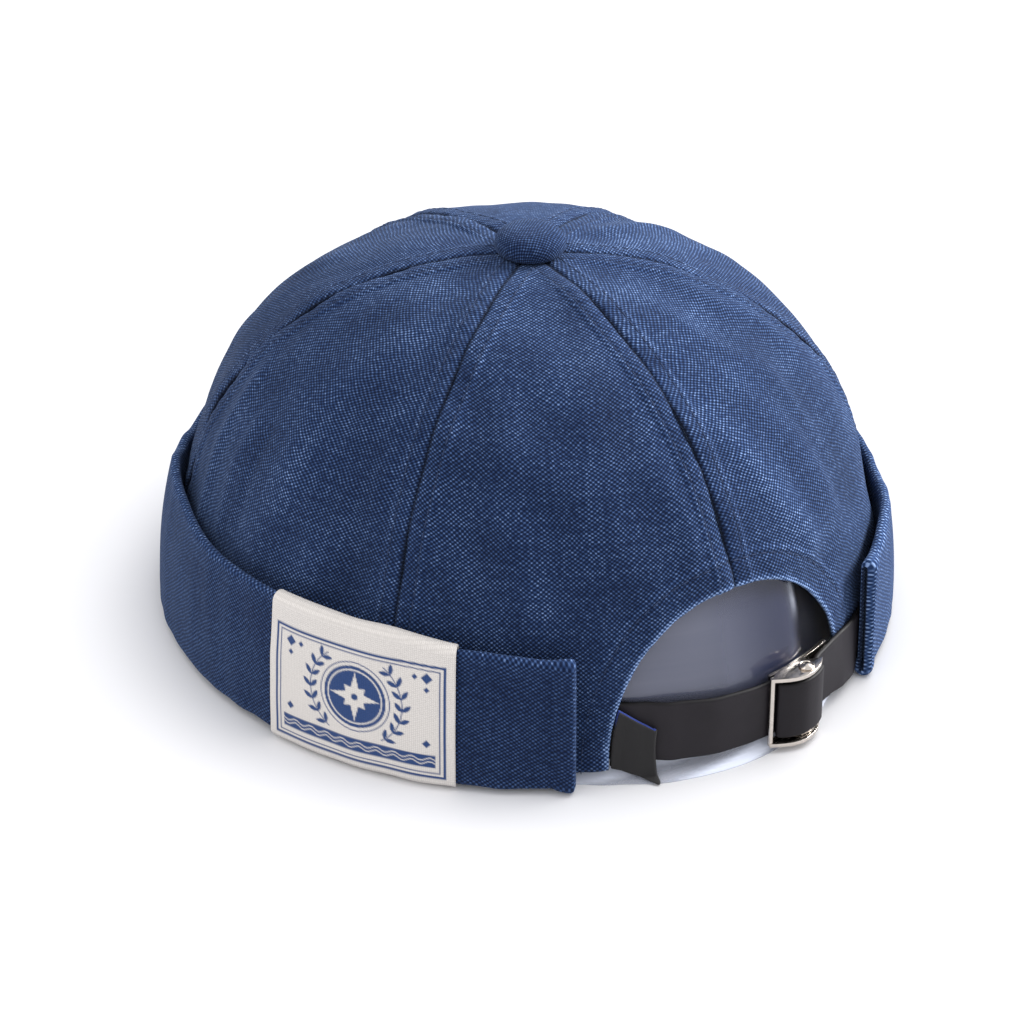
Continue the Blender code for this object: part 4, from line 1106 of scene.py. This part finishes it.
def cuff_line(angle):
    """The middle line of the cuff's cloth: up the inner ply, over the fold, down and under the hem."""
    angle = np.asarray(angle, float)[:, None]
    height, lean = row_at(CUFF_ROWS, angle)
    top = CUFF_FOOT + CUFF_HEIGHT * height
    spacing = CANVAS + CUFF_SLIT
    fold = spacing / 2
    bend = top - CANVAS / 2 - fold

    def outer(z):
        share = np.maximum(z - CUFF_FOOT, 0.0) / (top - CUFF_FOOT)
        plan = ellipse_radius(CUFF_HALF_WIDTH, CUFF_HALF_DEPTH, angle) - CANVAS / 2
        tight = crown_reach(angle, z) + CLEARANCE + CANVAS / 2 + spacing
        return np.maximum(plan - CUFF_LEAN * lean * share ** 2, tight)

    low = CUFF_FOOT + CUFF_HEM
    near = crown_reach(angle, low) + CLEARANCE + CANVAS / 2 + strap_room(angle)
    share = np.arange(PLY_STEPS + 1) / PLY_STEPS
    z = mix(low, bend, share)
    above = smooth((z - STRAP_FOOT - STRAP_WIDTH) / (bend - STRAP_FOOT - STRAP_WIDTH))
    close = crown_reach(angle, z) + CLEARANCE + CANVAS / 2 + strap_room(angle) * (1 - above)
    inner = mix(near, outer(bend) - spacing, share ** CUFF_BELLY)
    line = [(np.minimum(np.maximum(inner, close), outer(z) - spacing), z)]
    turn = np.pi * np.arange(1, FOLD_STEPS + 1) / FOLD_STEPS
    line.append((outer(bend) - fold - fold * np.cos(turn), bend + fold * np.sin(turn)))
    hem = CUFF_FOOT + CANVAS / 2 + CUFF_HEM_RADIUS
    z = mix(bend, hem, np.arange(1, PLY_STEPS + 1) / PLY_STEPS)
    line.append((outer(z), z))
    turn = np.pi * np.arange(1, HEM_STEPS + 1) / HEM_STEPS
    under = outer(hem) - CUFF_HEM_RADIUS
    line.append((under + CUFF_HEM_RADIUS * np.cos(turn), hem - CUFF_HEM_RADIUS * np.sin(turn) + 0 * angle))
    line.append((under - CUFF_HEM_RADIUS, CUFF_FOOT + CUFF_HEM - CLEARANCE + 0 * angle))
    return [np.concatenate(part, axis=1) for part in zip(*line)]


def cloth_places(angle, middle, radius, z):
    """Lengths over a cloth: round the cuff from a middle angle, and along its line from the first point."""
    u = np.broadcast_to((np.radians(angle - middle) * CUFF_HALF_WIDTH)[:, None], radius.shape)
    return u, travel(np.stack((radius, z), axis=-1))


def add_cuff():
    angle = mix(CUFF_END, 360 - CUFF_END, crowded(CUFF_STEPS, CUFF_CROWDING))
    radius, z = cuff_line(angle)
    u, v = cloth_places(angle, 0.0, radius, z)
    ends = np.radians(np.minimum(angle - CUFF_END, 360 - CUFF_END - angle))[:, None] * CUFF_HALF_WIDTH
    column = np.arange(radius.shape[1])[None, :]
    outside = smooth((column - PLY_STEPS) / FOLD_STEPS)
    groove = CUFF_HEM_GROOVE * bell(ends - CUFF_END_HEM, CUFF_GROOVE_WIDTH)
    relief = outside * (rippled(CUFF_RIPPLES, u, v) - groove)
    thick = edge_round(ends, CUFF_END_ROUND)
    half = CANVAS / 2 * thick
    puff = CUFF_PUFF * outside * bell(ends - CUFF_PUFF_INSET, CUFF_PUFF_WIDTH) * thick
    outer, inner = cloth_faces(angle, radius, z, relief + half + puff, relief - half)
    # The fold, the ends and the foot are real wear; the right end and the left side are made paler as
    # painted highlight
    worn_and_lit = ((0.30, column - PLY_STEPS - FOLD_STEPS / 2, CUFF_FOLD_WORN), (0.30, ends, CUFF_END_WORN),
            (0.20, z - CUFF_FOOT, CUFF_FOOT_WORN), (0.30, 360 - CUFF_END - angle[:, None], CUFF_RIGHT_LIGHT_REACH),
            (0.12, angle[:, None] - CUFF_LEFT_LIGHT_ANGLE, CUFF_LEFT_LIGHT_REACH))
    wear_and_light = sum(strength * bell(distance, width) for strength, distance, width in worn_and_lit)
    piece = wall("cuff_cloth", outer, inner, cuff_canvas, np.stack((u, v), axis=-1),
                 {"wear_and_light": np.clip(wear_and_light, 0, 1), "shade": (0.0, INNER_SHADE)})
    dress(piece, "cuff")


# Label
LABEL_COLUMNS = 200
LABEL_CROWDING = 0.3
LABEL_ROWS = 190
LABEL_EDGE_ROUND = 0.0003
FIELD_HALF_WIDTH = 0.0232
FIELD_FOOT = 0.0022
FIELD_TOP = 0.0330
FRAME_LINE = 0.00034
FRAME_GAP = 0.0012
INNER_LINE = 0.00016
INK_EDGE = 0.00018
ROUNDEL_LIFT = 0.0025
ROUNDEL_RADIUS = 0.0084
ROUNDEL_EYE = 0.0009
ROUNDEL_RING = 0.87
RING_LINE = 0.00020
RING_GAP = 0.0010
STAR_LONG = 0.78
STAR_SHORT = 0.46
STAR_WAIST = 0.0019
SMALL_STAR_WAIST = 0.0024
SPRAY_RADIUS = 0.0126
STEM_LINE = 0.00014
STEM_MIDDLE = 1.55
STEM_REACH = 0.95
LEAF_START = 0.68
LEAF_STEP = 0.27
LEAF_PAIRS = 7
LEAF_LONG = 0.00155
LEAF_WIDE = 0.00062
LEAF_LEAN = 0.75
BAND_MIDDLE = 0.0044
BAND_HALF = 0.0018
BAND_INSET = 0.0023
WAVE_PITCH = 0.0046
WAVE_HEIGHT = 0.00042
WAVE_ASIDE = 0.0005
FINE_LINE = 0.00015

# The label's diamonds: how far out, how high above its middle, and from middle to tip
Diamond = namedtuple("Diamond", "out rise size")
DIAMONDS = (
    Diamond(0.0187, 0.0120, 0.0015),
    Diamond(0.0156, 0.0120, 0.0008),
    Diamond(0.0187, 0.0089, 0.0008),
    Diamond(0.0187, -0.0062, 0.0011),
)


def inked(depth):
    """1 inside a drawn shape and 0 outside it, from the depth inside its outline, with a soft edge."""
    return np.clip(depth / INK_EDGE + 0.5, 0.0, 1.0)


def line_mark(distance, half):
    """A drawn line of a half width, from the distance to its middle."""
    return inked(half - np.abs(distance))


def eight_points(reach, turn, long, short):
    """A compass star: four long points and four short ones between them."""
    star = np.zeros(reach.shape)
    for tip, waist, lean in ((long, STAR_WAIST, 0.0), (short, SMALL_STAR_WAIST, np.pi / 4)):
        fold = np.abs((turn + lean + np.pi / 4) % (np.pi / 2) - np.pi / 4)
        away_x, away_y = reach * np.cos(fold), reach * np.sin(fold)
        corner = waist * math.cos(np.pi / 4)
        side = ((tip - away_x) * corner - away_y * (tip - corner)) / math.hypot(tip - corner, corner)
        star = np.maximum(star, inked(side))
    return star


def spray(x, y):
    """A spray of leaves up each side of the roundel, in pairs along a thin stem."""
    reach = np.hypot(x, y)
    bearing = np.abs(np.arctan2(x, -y))
    drawn = line_mark(reach - SPRAY_RADIUS, STEM_LINE) * (np.abs(bearing - STEM_MIDDLE) < STEM_REACH)
    for k in range(LEAF_PAIRS):
        bend = LEAF_START + LEAF_STEP * k
        stem_x, stem_y = SPRAY_RADIUS * math.sin(bend), -SPRAY_RADIUS * math.cos(bend)
        for lean in (-LEAF_LEAN, LEAF_LEAN):
            way = bend + lean
            leaf_x = np.abs(x) - stem_x - LEAF_LONG * math.cos(way)
            leaf_y = y - stem_y - LEAF_LONG * math.sin(way)
            along = leaf_x * math.cos(way) + leaf_y * math.sin(way)
            aside = leaf_y * math.cos(way) - leaf_x * math.sin(way)
            width = LEAF_WIDE * np.clip(1 - (along / LEAF_LONG) ** 2, 0, 1)
            drawn = np.maximum(drawn, inked(width - np.abs(aside)) * (np.abs(along) < LEAF_LONG))
    return drawn


def label_design(u, v):
    """The woven design: a double frame, a compass roundel between sprays, a wave band and diamonds."""
    middle, half_height = (FIELD_FOOT + FIELD_TOP) / 2, (FIELD_TOP - FIELD_FOOT) / 2
    inset = np.minimum(FIELD_HALF_WIDTH - np.abs(u), half_height - np.abs(v - middle))
    drawn = np.maximum(line_mark(inset, FRAME_LINE), line_mark(inset - FRAME_GAP, INNER_LINE))
    x, y = u, v - middle - ROUNDEL_LIFT
    reach, turn = np.hypot(x, y), np.arctan2(x, y)
    drawn = np.maximum(drawn, inked(ROUNDEL_RADIUS - reach))
    star = eight_points(reach, turn, STAR_LONG * ROUNDEL_RADIUS, STAR_SHORT * ROUNDEL_RADIUS)
    for gap in (line_mark(reach - ROUNDEL_RING * ROUNDEL_RADIUS, RING_LINE), star):
        drawn = np.minimum(drawn, 1 - gap)
    across = v - FIELD_FOOT - BAND_MIDDLE
    band = inked(np.minimum(BAND_HALF - np.abs(across), FIELD_HALF_WIDTH - BAND_INSET - np.abs(u)))
    for aside in (-WAVE_ASIDE, WAVE_ASIDE):
        wave = across - aside - WAVE_HEIGHT * np.sin(2 * np.pi * u / WAVE_PITCH)
        band = np.minimum(band, 1 - line_mark(wave, FINE_LINE))
    ring = line_mark(reach - ROUNDEL_RADIUS - RING_GAP, FINE_LINE)
    shapes = [inked(ROUNDEL_EYE - reach), ring, spray(x, y), band]
    for row in DIAMONDS:
        away = np.abs(np.abs(u) - row.out) + np.abs(v - middle - row.rise)
        shapes.append(inked((row.size - away) * 0.7))
    for shape in shapes:
        drawn = np.maximum(drawn, shape)
    return drawn


def add_label():
    """The woven label, lapped over the cuff's top edge and under its foot."""
    half = math.degrees(LABEL_WIDTH / 2 / CUFF_HALF_WIDTH)
    angle = mix(LABEL_ANGLE - half, LABEL_ANGLE + half, crowded(LABEL_COLUMNS, LABEL_CROWDING))
    radius, z = cuff_line(angle)
    first = PLY_STEPS - math.ceil(LABEL_LAP / (CUFF_HEIGHT / PLY_STEPS))
    last = -HEM_STEPS // 2
    radius, z = radius[:, first:last], z[:, first:last]
    steps = np.arange(radius.shape[1])
    fine = np.linspace(0, steps[-1], LABEL_ROWS)
    radius, z = (np.array([np.interp(fine, steps, row) for row in grid]) for grid in (radius, z))
    u, v = cloth_places(angle, LABEL_ANGLE, radius, z)
    v = v[:, -1:] - v
    lift = CANVAS / 2 + CLEARANCE + LABEL_WALL / 2 + rippled(LABEL_RIPPLES, u, v)
    half_wall = LABEL_WALL / 2 * edge_round(LABEL_WIDTH / 2 - np.abs(u), LABEL_EDGE_ROUND)
    outer, inner = cloth_faces(angle, radius, z, lift + half_wall, lift - half_wall)
    piece = wall("label_cloth", outer, inner, woven_cotton, np.stack((u, v), axis=-1),
                 {"design": (label_design(-u, v), 0.0)})
    dress(piece, "woven_label")


# Straps
STRAP_ROWS = 22
STRAP_CROWDING = 0.75
STRAP_GROOVE = 0.00006
STRAP_GROOVE_INSET = 0.0013
STRAP_GROOVE_WIDTH = 0.00025
STRAP_PAINT = 0.00045


def left_strap_faces(angle):
    """The left strap's inner face at its top and foot, and its foot's height."""
    top, foot, lift = row_at(LEFT_STRAP_ROWS, angle)
    low = STRAP_FOOT + LEFT_STRAP_LIFT * lift
    outer_top = crown_reach(angle, low + STRAP_WIDTH) + STRAP_WALL * top
    outer_foot = crown_reach(angle, low) + STRAP_WALL * foot
    return outer_top, outer_foot, low


def leather_band(name, node, hide, middle, foot, sides, flare=0.0):
    """A leather strap that follows a line of points in plan, with rounded painted edges."""
    rise = crowded(STRAP_ROWS, STRAP_CROWDING)[None, :]
    along = travel(middle[:, 0] if middle.ndim == 3 else middle)[:, None]
    z = foot[:, None] + STRAP_WIDTH * rise
    edge = np.minimum(rise, 1 - rise) * STRAP_WIDTH
    edge = np.minimum(edge, np.minimum(along, along[-1] - along))
    half = STRAP_WALL / 2 * edge_round(edge, STRAP_WALL / 2)
    groove = STRAP_GROOVE * bell(edge - STRAP_GROOVE_INSET, STRAP_GROOVE_WIDTH)
    if middle.ndim == 3:
        points = mix(middle[:, :1], middle[:, 1:], rise[..., None])
    else:
        points = np.repeat(middle[:, None], rise.shape[1], axis=1)
    points = points + unit(points) * (flare * (0.5 - rise))[..., None]
    points[..., 2] = z
    outer = points + sides[:, None] * (half - groove)[..., None]
    inner = points - sides[:, None] * (half - groove)[..., None]
    uv = np.stack(np.broadcast_arrays(along, rise * STRAP_WIDTH), axis=-1)
    dress(wall(name, outer, inner, hide, uv, {"edge": bell(edge, STRAP_PAINT)}), node)


def add_left_strap():
    angle = mix(LEFT_STRAP_END, LEFT_STRAP_TAIL, crowded(150, 0.5))
    top, foot, low = left_strap_faces(angle)
    lower = place(angle, foot + STRAP_WALL / 2, 0.0)
    upper = place(angle, top + STRAP_WALL / 2, 0.0)
    leather_band("leather_left", "strap_left", strap_hide, np.stack((lower, upper), axis=1), low,
                 place(angle, 1.0, 0.0))


def clamp_radius():
    """Outer face of the left strap where the buckle clamps it."""
    top, foot, _ = left_strap_faces(BUCKLE_BAR_ANGLE)
    return float(max(top, foot)) + STRAP_WALL


def fine_route(points, feet, flares, steps):
    """A smooth run of points, foot heights and flares through those of a route."""
    fine = [points[-1]]
    for k in range(len(points) - 2, -1, -1):
        a, b, c = points[max(k - 1, 0)], points[k], points[k + 1]
        d = points[min(k + 2, len(points) - 1)]
        for t in np.arange(steps - 1, -1, -1) / steps:
            fine.append((b * 2 + (c - a) * t + (a * 2 - b * 5 + c * 4 - d) * t ** 2
                         + (b * 3 - a - c * 3 + d) * t ** 3) / 2)
    stops = np.arange(len(points))
    there = np.linspace(0, len(points) - 1, len(fine))
    return np.array(fine[::-1]), np.interp(there, stops, feet), np.interp(there, stops, flares)


def add_right_strap():
    points, feet, flares = [], [], []
    for row in RIGHT_STRAP_ROWS:
        radius = crown_reach(row.angle, STRAP_FOOT + STRAP_WIDTH / 2) + STRAP_WALL * row.reach
        points.append(place(row.angle, radius, 0.0))
        feet.append(STRAP_FOOT + RIGHT_STRAP_LIFT * row.lift)
        flares.append(STRAP_WALL * row.flare)
    lap = clamp_radius() + CLEARANCE + STRAP_WALL / 2
    front = lap + STRAP_WALL + 2 * (CLEARANCE + BUCKLE_PIN_RADIUS)
    for row in LOOP_ROWS:
        points.append(place(row.angle, mix(lap, front, row.reach), 0.0))
        feet.append(STRAP_FOOT)
        flares.append(0.0)
    fine, low, flare = fine_route(points, feet, flares, 9)
    run = unit(np.gradient(fine, axis=0))
    sides = np.stack((run[:, 1], -run[:, 0], 0 * run[:, 0]), axis=-1)
    # The right strap is drawn in the darker copy of the leather, as painted shade
    leather_band("leather_right", "strap_right", shaded_leather, fine, low, sides, flare[:, None])


# Shaping insert
def room_for_base(angle):
    """Room that the insert leaves for the buckle's base plate behind the left strap."""
    span = (BASE_START - BASE_END) / 2 + BASE_MARGIN
    return (BASE_METAL + 2 * CLEARANCE) * plateau(angle, (BASE_START + BASE_END) / 2, span)


def insert_outer(angle, z):
    """Outer face of the insert: under the crown, out behind the straps and flared at its rim."""
    under = CANVAS + INSERT_GAP + CANVAS * z / CROWN_HEIGHT
    tail = CANVAS + STRAP_WALL + 3 * CLEARANCE
    body = mix(under, np.maximum(tail, under), plateau(angle, INSERT_DIP_ANGLE, INSERT_DIP_SPAN))
    above = smooth((z - STRAP_FOOT - STRAP_WIDTH) / (ARCH_HEIGHT - STRAP_FOOT - STRAP_WIDTH))
    swell = INSERT_SWELL * plateau(angle, INSERT_SWELL_ANGLE, INSERT_SWELL_SPAN) * (1 - above)
    reach = crown_reach(angle, z) - body + swell
    top, foot, low = left_strap_faces(angle)
    share = np.clip((z - low) / STRAP_WIDTH, 0.0, 1.0)
    behind = np.minimum(reach, mix(foot, top, share) - CLEARANCE - room_for_base(angle))
    reach = np.where((BASE_END - BASE_MARGIN < angle) & (angle < ARCH_HALF_ANGLE), behind, reach)
    rim, = row_at(RIM_ROWS, angle)
    flare = np.maximum(1 - z / INSERT_FLARE_HEIGHT, 0.0)
    edge = crown_reach(angle, 0.0) + INSERT_FLARE * rim
    return mix(reach, np.maximum(edge, reach), flare)


# The sheet's haze, thinner towards its right, where it ends, with its colour darkened there by painted
# shade; a clearer band lies above the strap; painted highlight and reflection lighten its rim and one streak
HAZE = 0.86
HAZE_LOW = 0.03
HAZE_THIN = 0.72
HAZE_THIN_SPAN = 13.0
HAZE_END = -11.9
HAZE_FADE = 3.0
HAZE_BAND = 0.0225
HAZE_BAND_EDGE = 0.0006
HAZE_BAND_LOSS = 0.18
HAZE_LEAST = 0.02
# A painted highlight streak near the sheet's right end: where, how wide, from what height, and how much it
# adds to the haze and to the pale colour
HIGHLIGHT_STREAK_ANGLE = -10.9
HIGHLIGHT_STREAK_WIDTH = 0.5
HIGHLIGHT_STREAK_FOOT = 0.028
HIGHLIGHT_STREAK_RISE = 0.008
HIGHLIGHT_STREAK_HAZE = 0.4
HIGHLIGHT_STREAK_STRENGTH = 0.5
# The rim below the strap: clearer and brighter haze and a pale colour of painted highlight and reflection,
# in gleaming streaks
RIM_EDGE = 0.0015
RIM_CLEAR = 0.38
RIM_BRIGHT = 0.80
RIM_HIGHLIGHT = 0.55
GLEAM_TURNS = 14
GLEAM_STEP = 0.0008
GLEAM_CONTRAST = 0.8
# Painted shade on the sheet's colour towards its right: its strength, where it starts and over how many
# degrees it comes in
SHEET_SHADE = 0.85
SHEET_SHADE_START = 9.0
SHEET_SHADE_SPAN = 17.0
INSERT_STEPS = 420
INSERT_ROWS = 44
INSERT_CROWDING = 0.5
INSERT_FOOT_CROWDING = 1.15


def add_insert():
    total = 360 + INSERT_LAP
    passed = np.linspace(0, total, INSERT_STEPS)[:, None]
    angle = (INSERT_LAP_ANGLE - INSERT_LAP + passed + 180) % 360 - 180
    under = (INSERT_WALL + CLEARANCE) * smooth((passed - 360 + INSERT_LAP) / INSERT_LAP)
    z = (INSERT_HEIGHT * crowded(INSERT_ROWS, INSERT_CROWDING) ** INSERT_FOOT_CROWDING)[None, :]
    outer = insert_outer(angle, z) - under
    half = INSERT_WALL / 2
    edge = np.minimum(z, INSERT_HEIGHT - z)
    thin = half * (1 - edge_round(edge, half))
    uv = np.stack(np.broadcast_arrays(np.radians(passed) * CROWN_HALF_WIDTH, z), axis=-1)
    fade = smooth((angle - HAZE_END) / HAZE_FADE)
    band = fade * smooth((HAZE_BAND - z) / HAZE_BAND_EDGE)
    # Painted reflections: curved gleaming streaks along the rim
    gleam = smooth(0.5 + GLEAM_CONTRAST * np.sin(np.radians(angle) * GLEAM_TURNS + z / GLEAM_STEP))
    rim = smooth((STRAP_FOOT + MM - z) / RIM_EDGE)
    body = HAZE * mix(HAZE_THIN, 1.0, smooth((angle / HAZE_THIN_SPAN + 1) / 2))
    haze = mix(mix(HAZE_LOW, body, fade) - HAZE_BAND_LOSS * band, mix(RIM_CLEAR, RIM_BRIGHT, gleam), rim)
    # Painted shade: the sheet's colour darkens towards its right, but not at its rim
    sheet_shade = SHEET_SHADE * smooth((SHEET_SHADE_START - angle) / SHEET_SHADE_SPAN) * (1 - rim)
    # Painted highlight along one streak, and at the rim together with painted reflection
    highlight_streak = bell(angle - HIGHLIGHT_STREAK_ANGLE, HIGHLIGHT_STREAK_WIDTH) * smooth((z - HIGHLIGHT_STREAK_FOOT) / HIGHLIGHT_STREAK_RISE)
    painted_highlight = np.maximum(rim * mix(RIM_HIGHLIGHT, 1.0, gleam), HIGHLIGHT_STREAK_STRENGTH * highlight_streak)
    piece = wall("insert_band", place(angle, outer - thin, z), place(angle, outer - 2 * half + thin, z),
                 clear_sheet, uv, {"haze": np.clip(haze + HIGHLIGHT_STREAK_HAZE * highlight_streak, HAZE_LEAST, 1),
                                   "painted_highlight": painted_highlight, "sheet_shade": sheet_shade})
    dress(piece, "shaping_insert")


# Tag
TAG_ROWS = 40
TAG_CROWDING = 0.3
TAG_COLUMNS = 30
TAG_BEND_STEPS = 8
TAG_EDGE_ROUND = 0.00025

# The tag's lining shows from this share of its height up
TAG_LINING = 0.7
TAG_LINING_FADE = 0.2


def tag_back(angle, z):
    """The radius that the tag lies on: the strap, or the insert above and below it."""
    top, foot, low = left_strap_faces(angle)
    share = np.clip((z - low) / STRAP_WIDTH, 0.0, 1.0)
    strap = mix(foot, top, share) + STRAP_WALL + CLEARANCE
    return np.maximum(np.maximum(strap, insert_outer(angle, z) + CLEARANCE), crown_reach(angle, z) - CANVAS)


def add_tag():
    """A ribbon folded on itself, sewn at the arch's left edge and lying over the strap."""
    up = crowded(TAG_ROWS, TAG_CROWDING)[:, None]
    z = mix(TAG_FOOT, TAG_TOP, up)
    root = crown_point(arch_turn(z), z / CROWN_HEIGHT)
    start = np.degrees(np.arctan2(root[..., 0], root[..., 1]) - 2 * CLEARANCE / CROWN_HALF_DEPTH)
    width = np.degrees(mix(TAG_FOOT_WIDTH, TAG_TOP_WIDTH, up) / CROWN_HALF_DEPTH)
    pitch = TAG_WALL + TAG_SLIT
    share = np.linspace(0, 1, TAG_COLUMNS)[None, :]
    there = start - width * share
    height = z - mix(TAG_FOOT_SLANT, TAG_TOP_SLANT, up) * share
    lying = tag_back(there, height) + TAG_WALL / 2
    bend = np.radians(180 * np.arange(1, TAG_BEND_STEPS) / TAG_BEND_STEPS)[None, :]
    turned = np.degrees(pitch / 2 * np.sin(bend) / CROWN_HALF_DEPTH)
    angles = [there, there[:, -1:] - turned, there[:, ::-1]]
    radii = [lying, lying[:, -1:] + pitch / 2 * (1 - np.cos(bend)), lying[:, ::-1] + pitch]
    heights = [height, height[:, -1:] + 0 * bend, height[:, ::-1]]
    points = place(*(np.concatenate(part, axis=1) for part in (angles, radii, heights)))
    run = unit(np.gradient(points, axis=1))
    side = unit(np.stack((run[..., 1], -run[..., 0], 0 * run[..., 0]), axis=-1))
    edge = np.minimum(up, 1 - up) * (TAG_TOP - TAG_FOOT)
    half = (TAG_WALL / 2 * edge_round(edge, TAG_EDGE_ROUND))[..., None]
    u = travel(points)
    uv = np.stack(np.broadcast_arrays(u, z), axis=-1)
    piece = wall("tag_loop", points - side * half, points + side * half, ribbon, uv,
                 {"lining": (0.0, smooth((up - TAG_LINING) / TAG_LINING_FADE))})
    dress(piece, "side_tag")


add_crown()
add_stitches()
add_button()
add_cuff()
add_label()
add_left_strap()
add_right_strap()
add_insert()
add_tag()


# Buckle
BUCKLE_BEVEL = 0.00022
RIVET_DOME = 0.0011
RIVET_RISE = 0.0006
RIVET_WASHER = 0.0020
RIVET_LIP = 0.00028
RIVET_SEAT = 0.0004
RIVET_SIDES = 48
RIVET_STEPS = 8


def add_plated(name, node):
    """A buckle piece in its own form, with the soft edges that plating leaves."""
    source = frame["nodes"][node]
    body = source.copy()
    body.data = source.data.copy()
    bpy.context.scene.collection.objects.link(body)
    mesh = bmesh.new()
    mesh.from_mesh(body.data)
    bmesh.ops.remove_doubles(mesh, verts=mesh.verts, dist=1e-6)
    bmesh.ops.dissolve_limit(mesh, angle_limit=math.radians(1), verts=mesh.verts, edges=mesh.edges)
    mesh.to_mesh(body.data)
    mesh.free()
    bevel = body.modifiers.new("plating", "BEVEL")
    bevel.width, bevel.segments, bevel.angle_limit = BUCKLE_BEVEL, 3, math.radians(34)
    soft = made_plain(body)
    soft.materials.clear()
    soft.materials.append(nickel)
    soft.shade_smooth()
    dress(add_object(name, soft), node)


def add_rivet():
    """The pin's riveted head: a dome in a dished washer on the top cheek."""
    corners = np.array([list(corner) for corner in frame["nodes"]["buckle_pin"].bound_box])
    centre = (corners.min(axis=0) + corners.max(axis=0)) / 2 - SHIFT
    centre[2] = corners[:, 2].max() - RIVET_SEAT
    turns = [math.pi * k / RIVET_STEPS for k in range(1, RIVET_STEPS + 1)]
    dome = [(RIVET_DOME * math.sin(turn / 2), RIVET_RISE * math.cos(turn / 2)) for turn in turns]
    lip = [(RIVET_WASHER - RIVET_LIP * (1 + math.cos(turn)), RIVET_LIP * math.sin(turn))
           for turn in turns[:-1]]
    profile = [(0.0, RIVET_RISE)] + dome + [(RIVET_DOME, -0.9 * RIVET_SEAT)]
    profile += [(RIVET_WASHER - 2 * RIVET_LIP, -0.9 * RIVET_SEAT)] + lip + [(RIVET_WASHER, -RIVET_SEAT)]
    profile += [(0.0, -RIVET_SEAT)]
    dress(lathe("rivet_head", profile, centre, RIVET_SIDES, nickel))


add_rivet()
add_plated("plated_base", "buckle_base")
add_plated("plated_frame", "buckle_frame")
add_plated("plated_pin", "buckle_pin")


# Floor, light and camera
FLOOR_SIZE = 6.0
CAMERA_SPOT = Vector((0.4357, 0.6382, 0.4871))
CAMERA_AIM = Vector((0.0070, 0.0023, 0.0254))
CAMERA_LENS = 120.09
WORLD_LIGHT = 1.0

# Where a light stands from the camera's aim: to the camera's right, up and beyond it, in metres
Lamp = namedtuple("Lamp", "name right up beyond size power lights_hat")
LAMPS = (
    Lamp("key light", 1.05, 0.70, 0.40, 0.60, 38.0, True),
    Lamp("top light", -0.60, 1.10, -0.40, 0.80, 6.0, True),
    Lamp("paper light", 0.50, 1.15, 0.15, 1.10, 8.5, False),
)


def add_floor():
    mesh = bpy.data.meshes.new("floor")
    half = FLOOR_SIZE / 2
    corners = [(-half, -half, 0), (half, -half, 0), (half, half, 0), (-half, half, 0)]
    mesh.from_pydata(corners, [], [(0, 1, 2, 3)])
    material, _, shader = start_material("studio paper")
    feed(shader, {"Base Color": linear("#f4f4f6"), "Roughness": 1.0, "Specular IOR Level": 0.0})
    mesh.materials.append(material)
    floor = add_object("floor", mesh)
    return floor


def add_lamp(row, lit):
    """A round soft light, for the hat or for the paper alone."""
    up = Vector((0, 0, 1))
    right = up.cross(CAMERA_SPOT - CAMERA_AIM).normalized()
    beyond = up.cross(right)
    lamp = bpy.data.lights.new(row.name, "AREA")
    lamp.shape = "DISK"
    lamp.size = row.size
    lamp.energy = row.power
    light = add_object(row.name, lamp)
    light.location = CAMERA_AIM + right * row.right + up * row.up + beyond * row.beyond
    light.rotation_euler = (CAMERA_AIM - light.location).to_track_quat("-Z", "Y").to_euler()
    light.light_linking.receiver_collection = lit


def add_studio():
    hat = bpy.data.collections.new("hat")
    for item in bpy.context.scene.objects:
        if item.type == "MESH":
            hat.objects.link(item)
    paper = bpy.data.collections.new("paper")
    paper.objects.link(add_floor())
    for row in LAMPS:
        add_lamp(row, hat if row.lights_hat else paper)
    world = bpy.data.worlds.new("studio")
    bpy.context.scene.world = world
    world.use_nodes = True
    feed(world.node_tree.nodes["Background"], {"Color": linear("#fdfdff"), "Strength": WORLD_LIGHT})
    camera = bpy.data.cameras.new("camera")
    camera.lens = CAMERA_LENS
    camera.sensor_width = 36.0
    shot = add_object("camera", camera)
    shot.location = CAMERA_SPOT
    shot.rotation_euler = (CAMERA_AIM - CAMERA_SPOT).to_track_quat("-Z", "Y").to_euler()
    bpy.context.scene.camera = shot
    bpy.context.scene.view_settings.view_transform = "Standard"


add_studio()
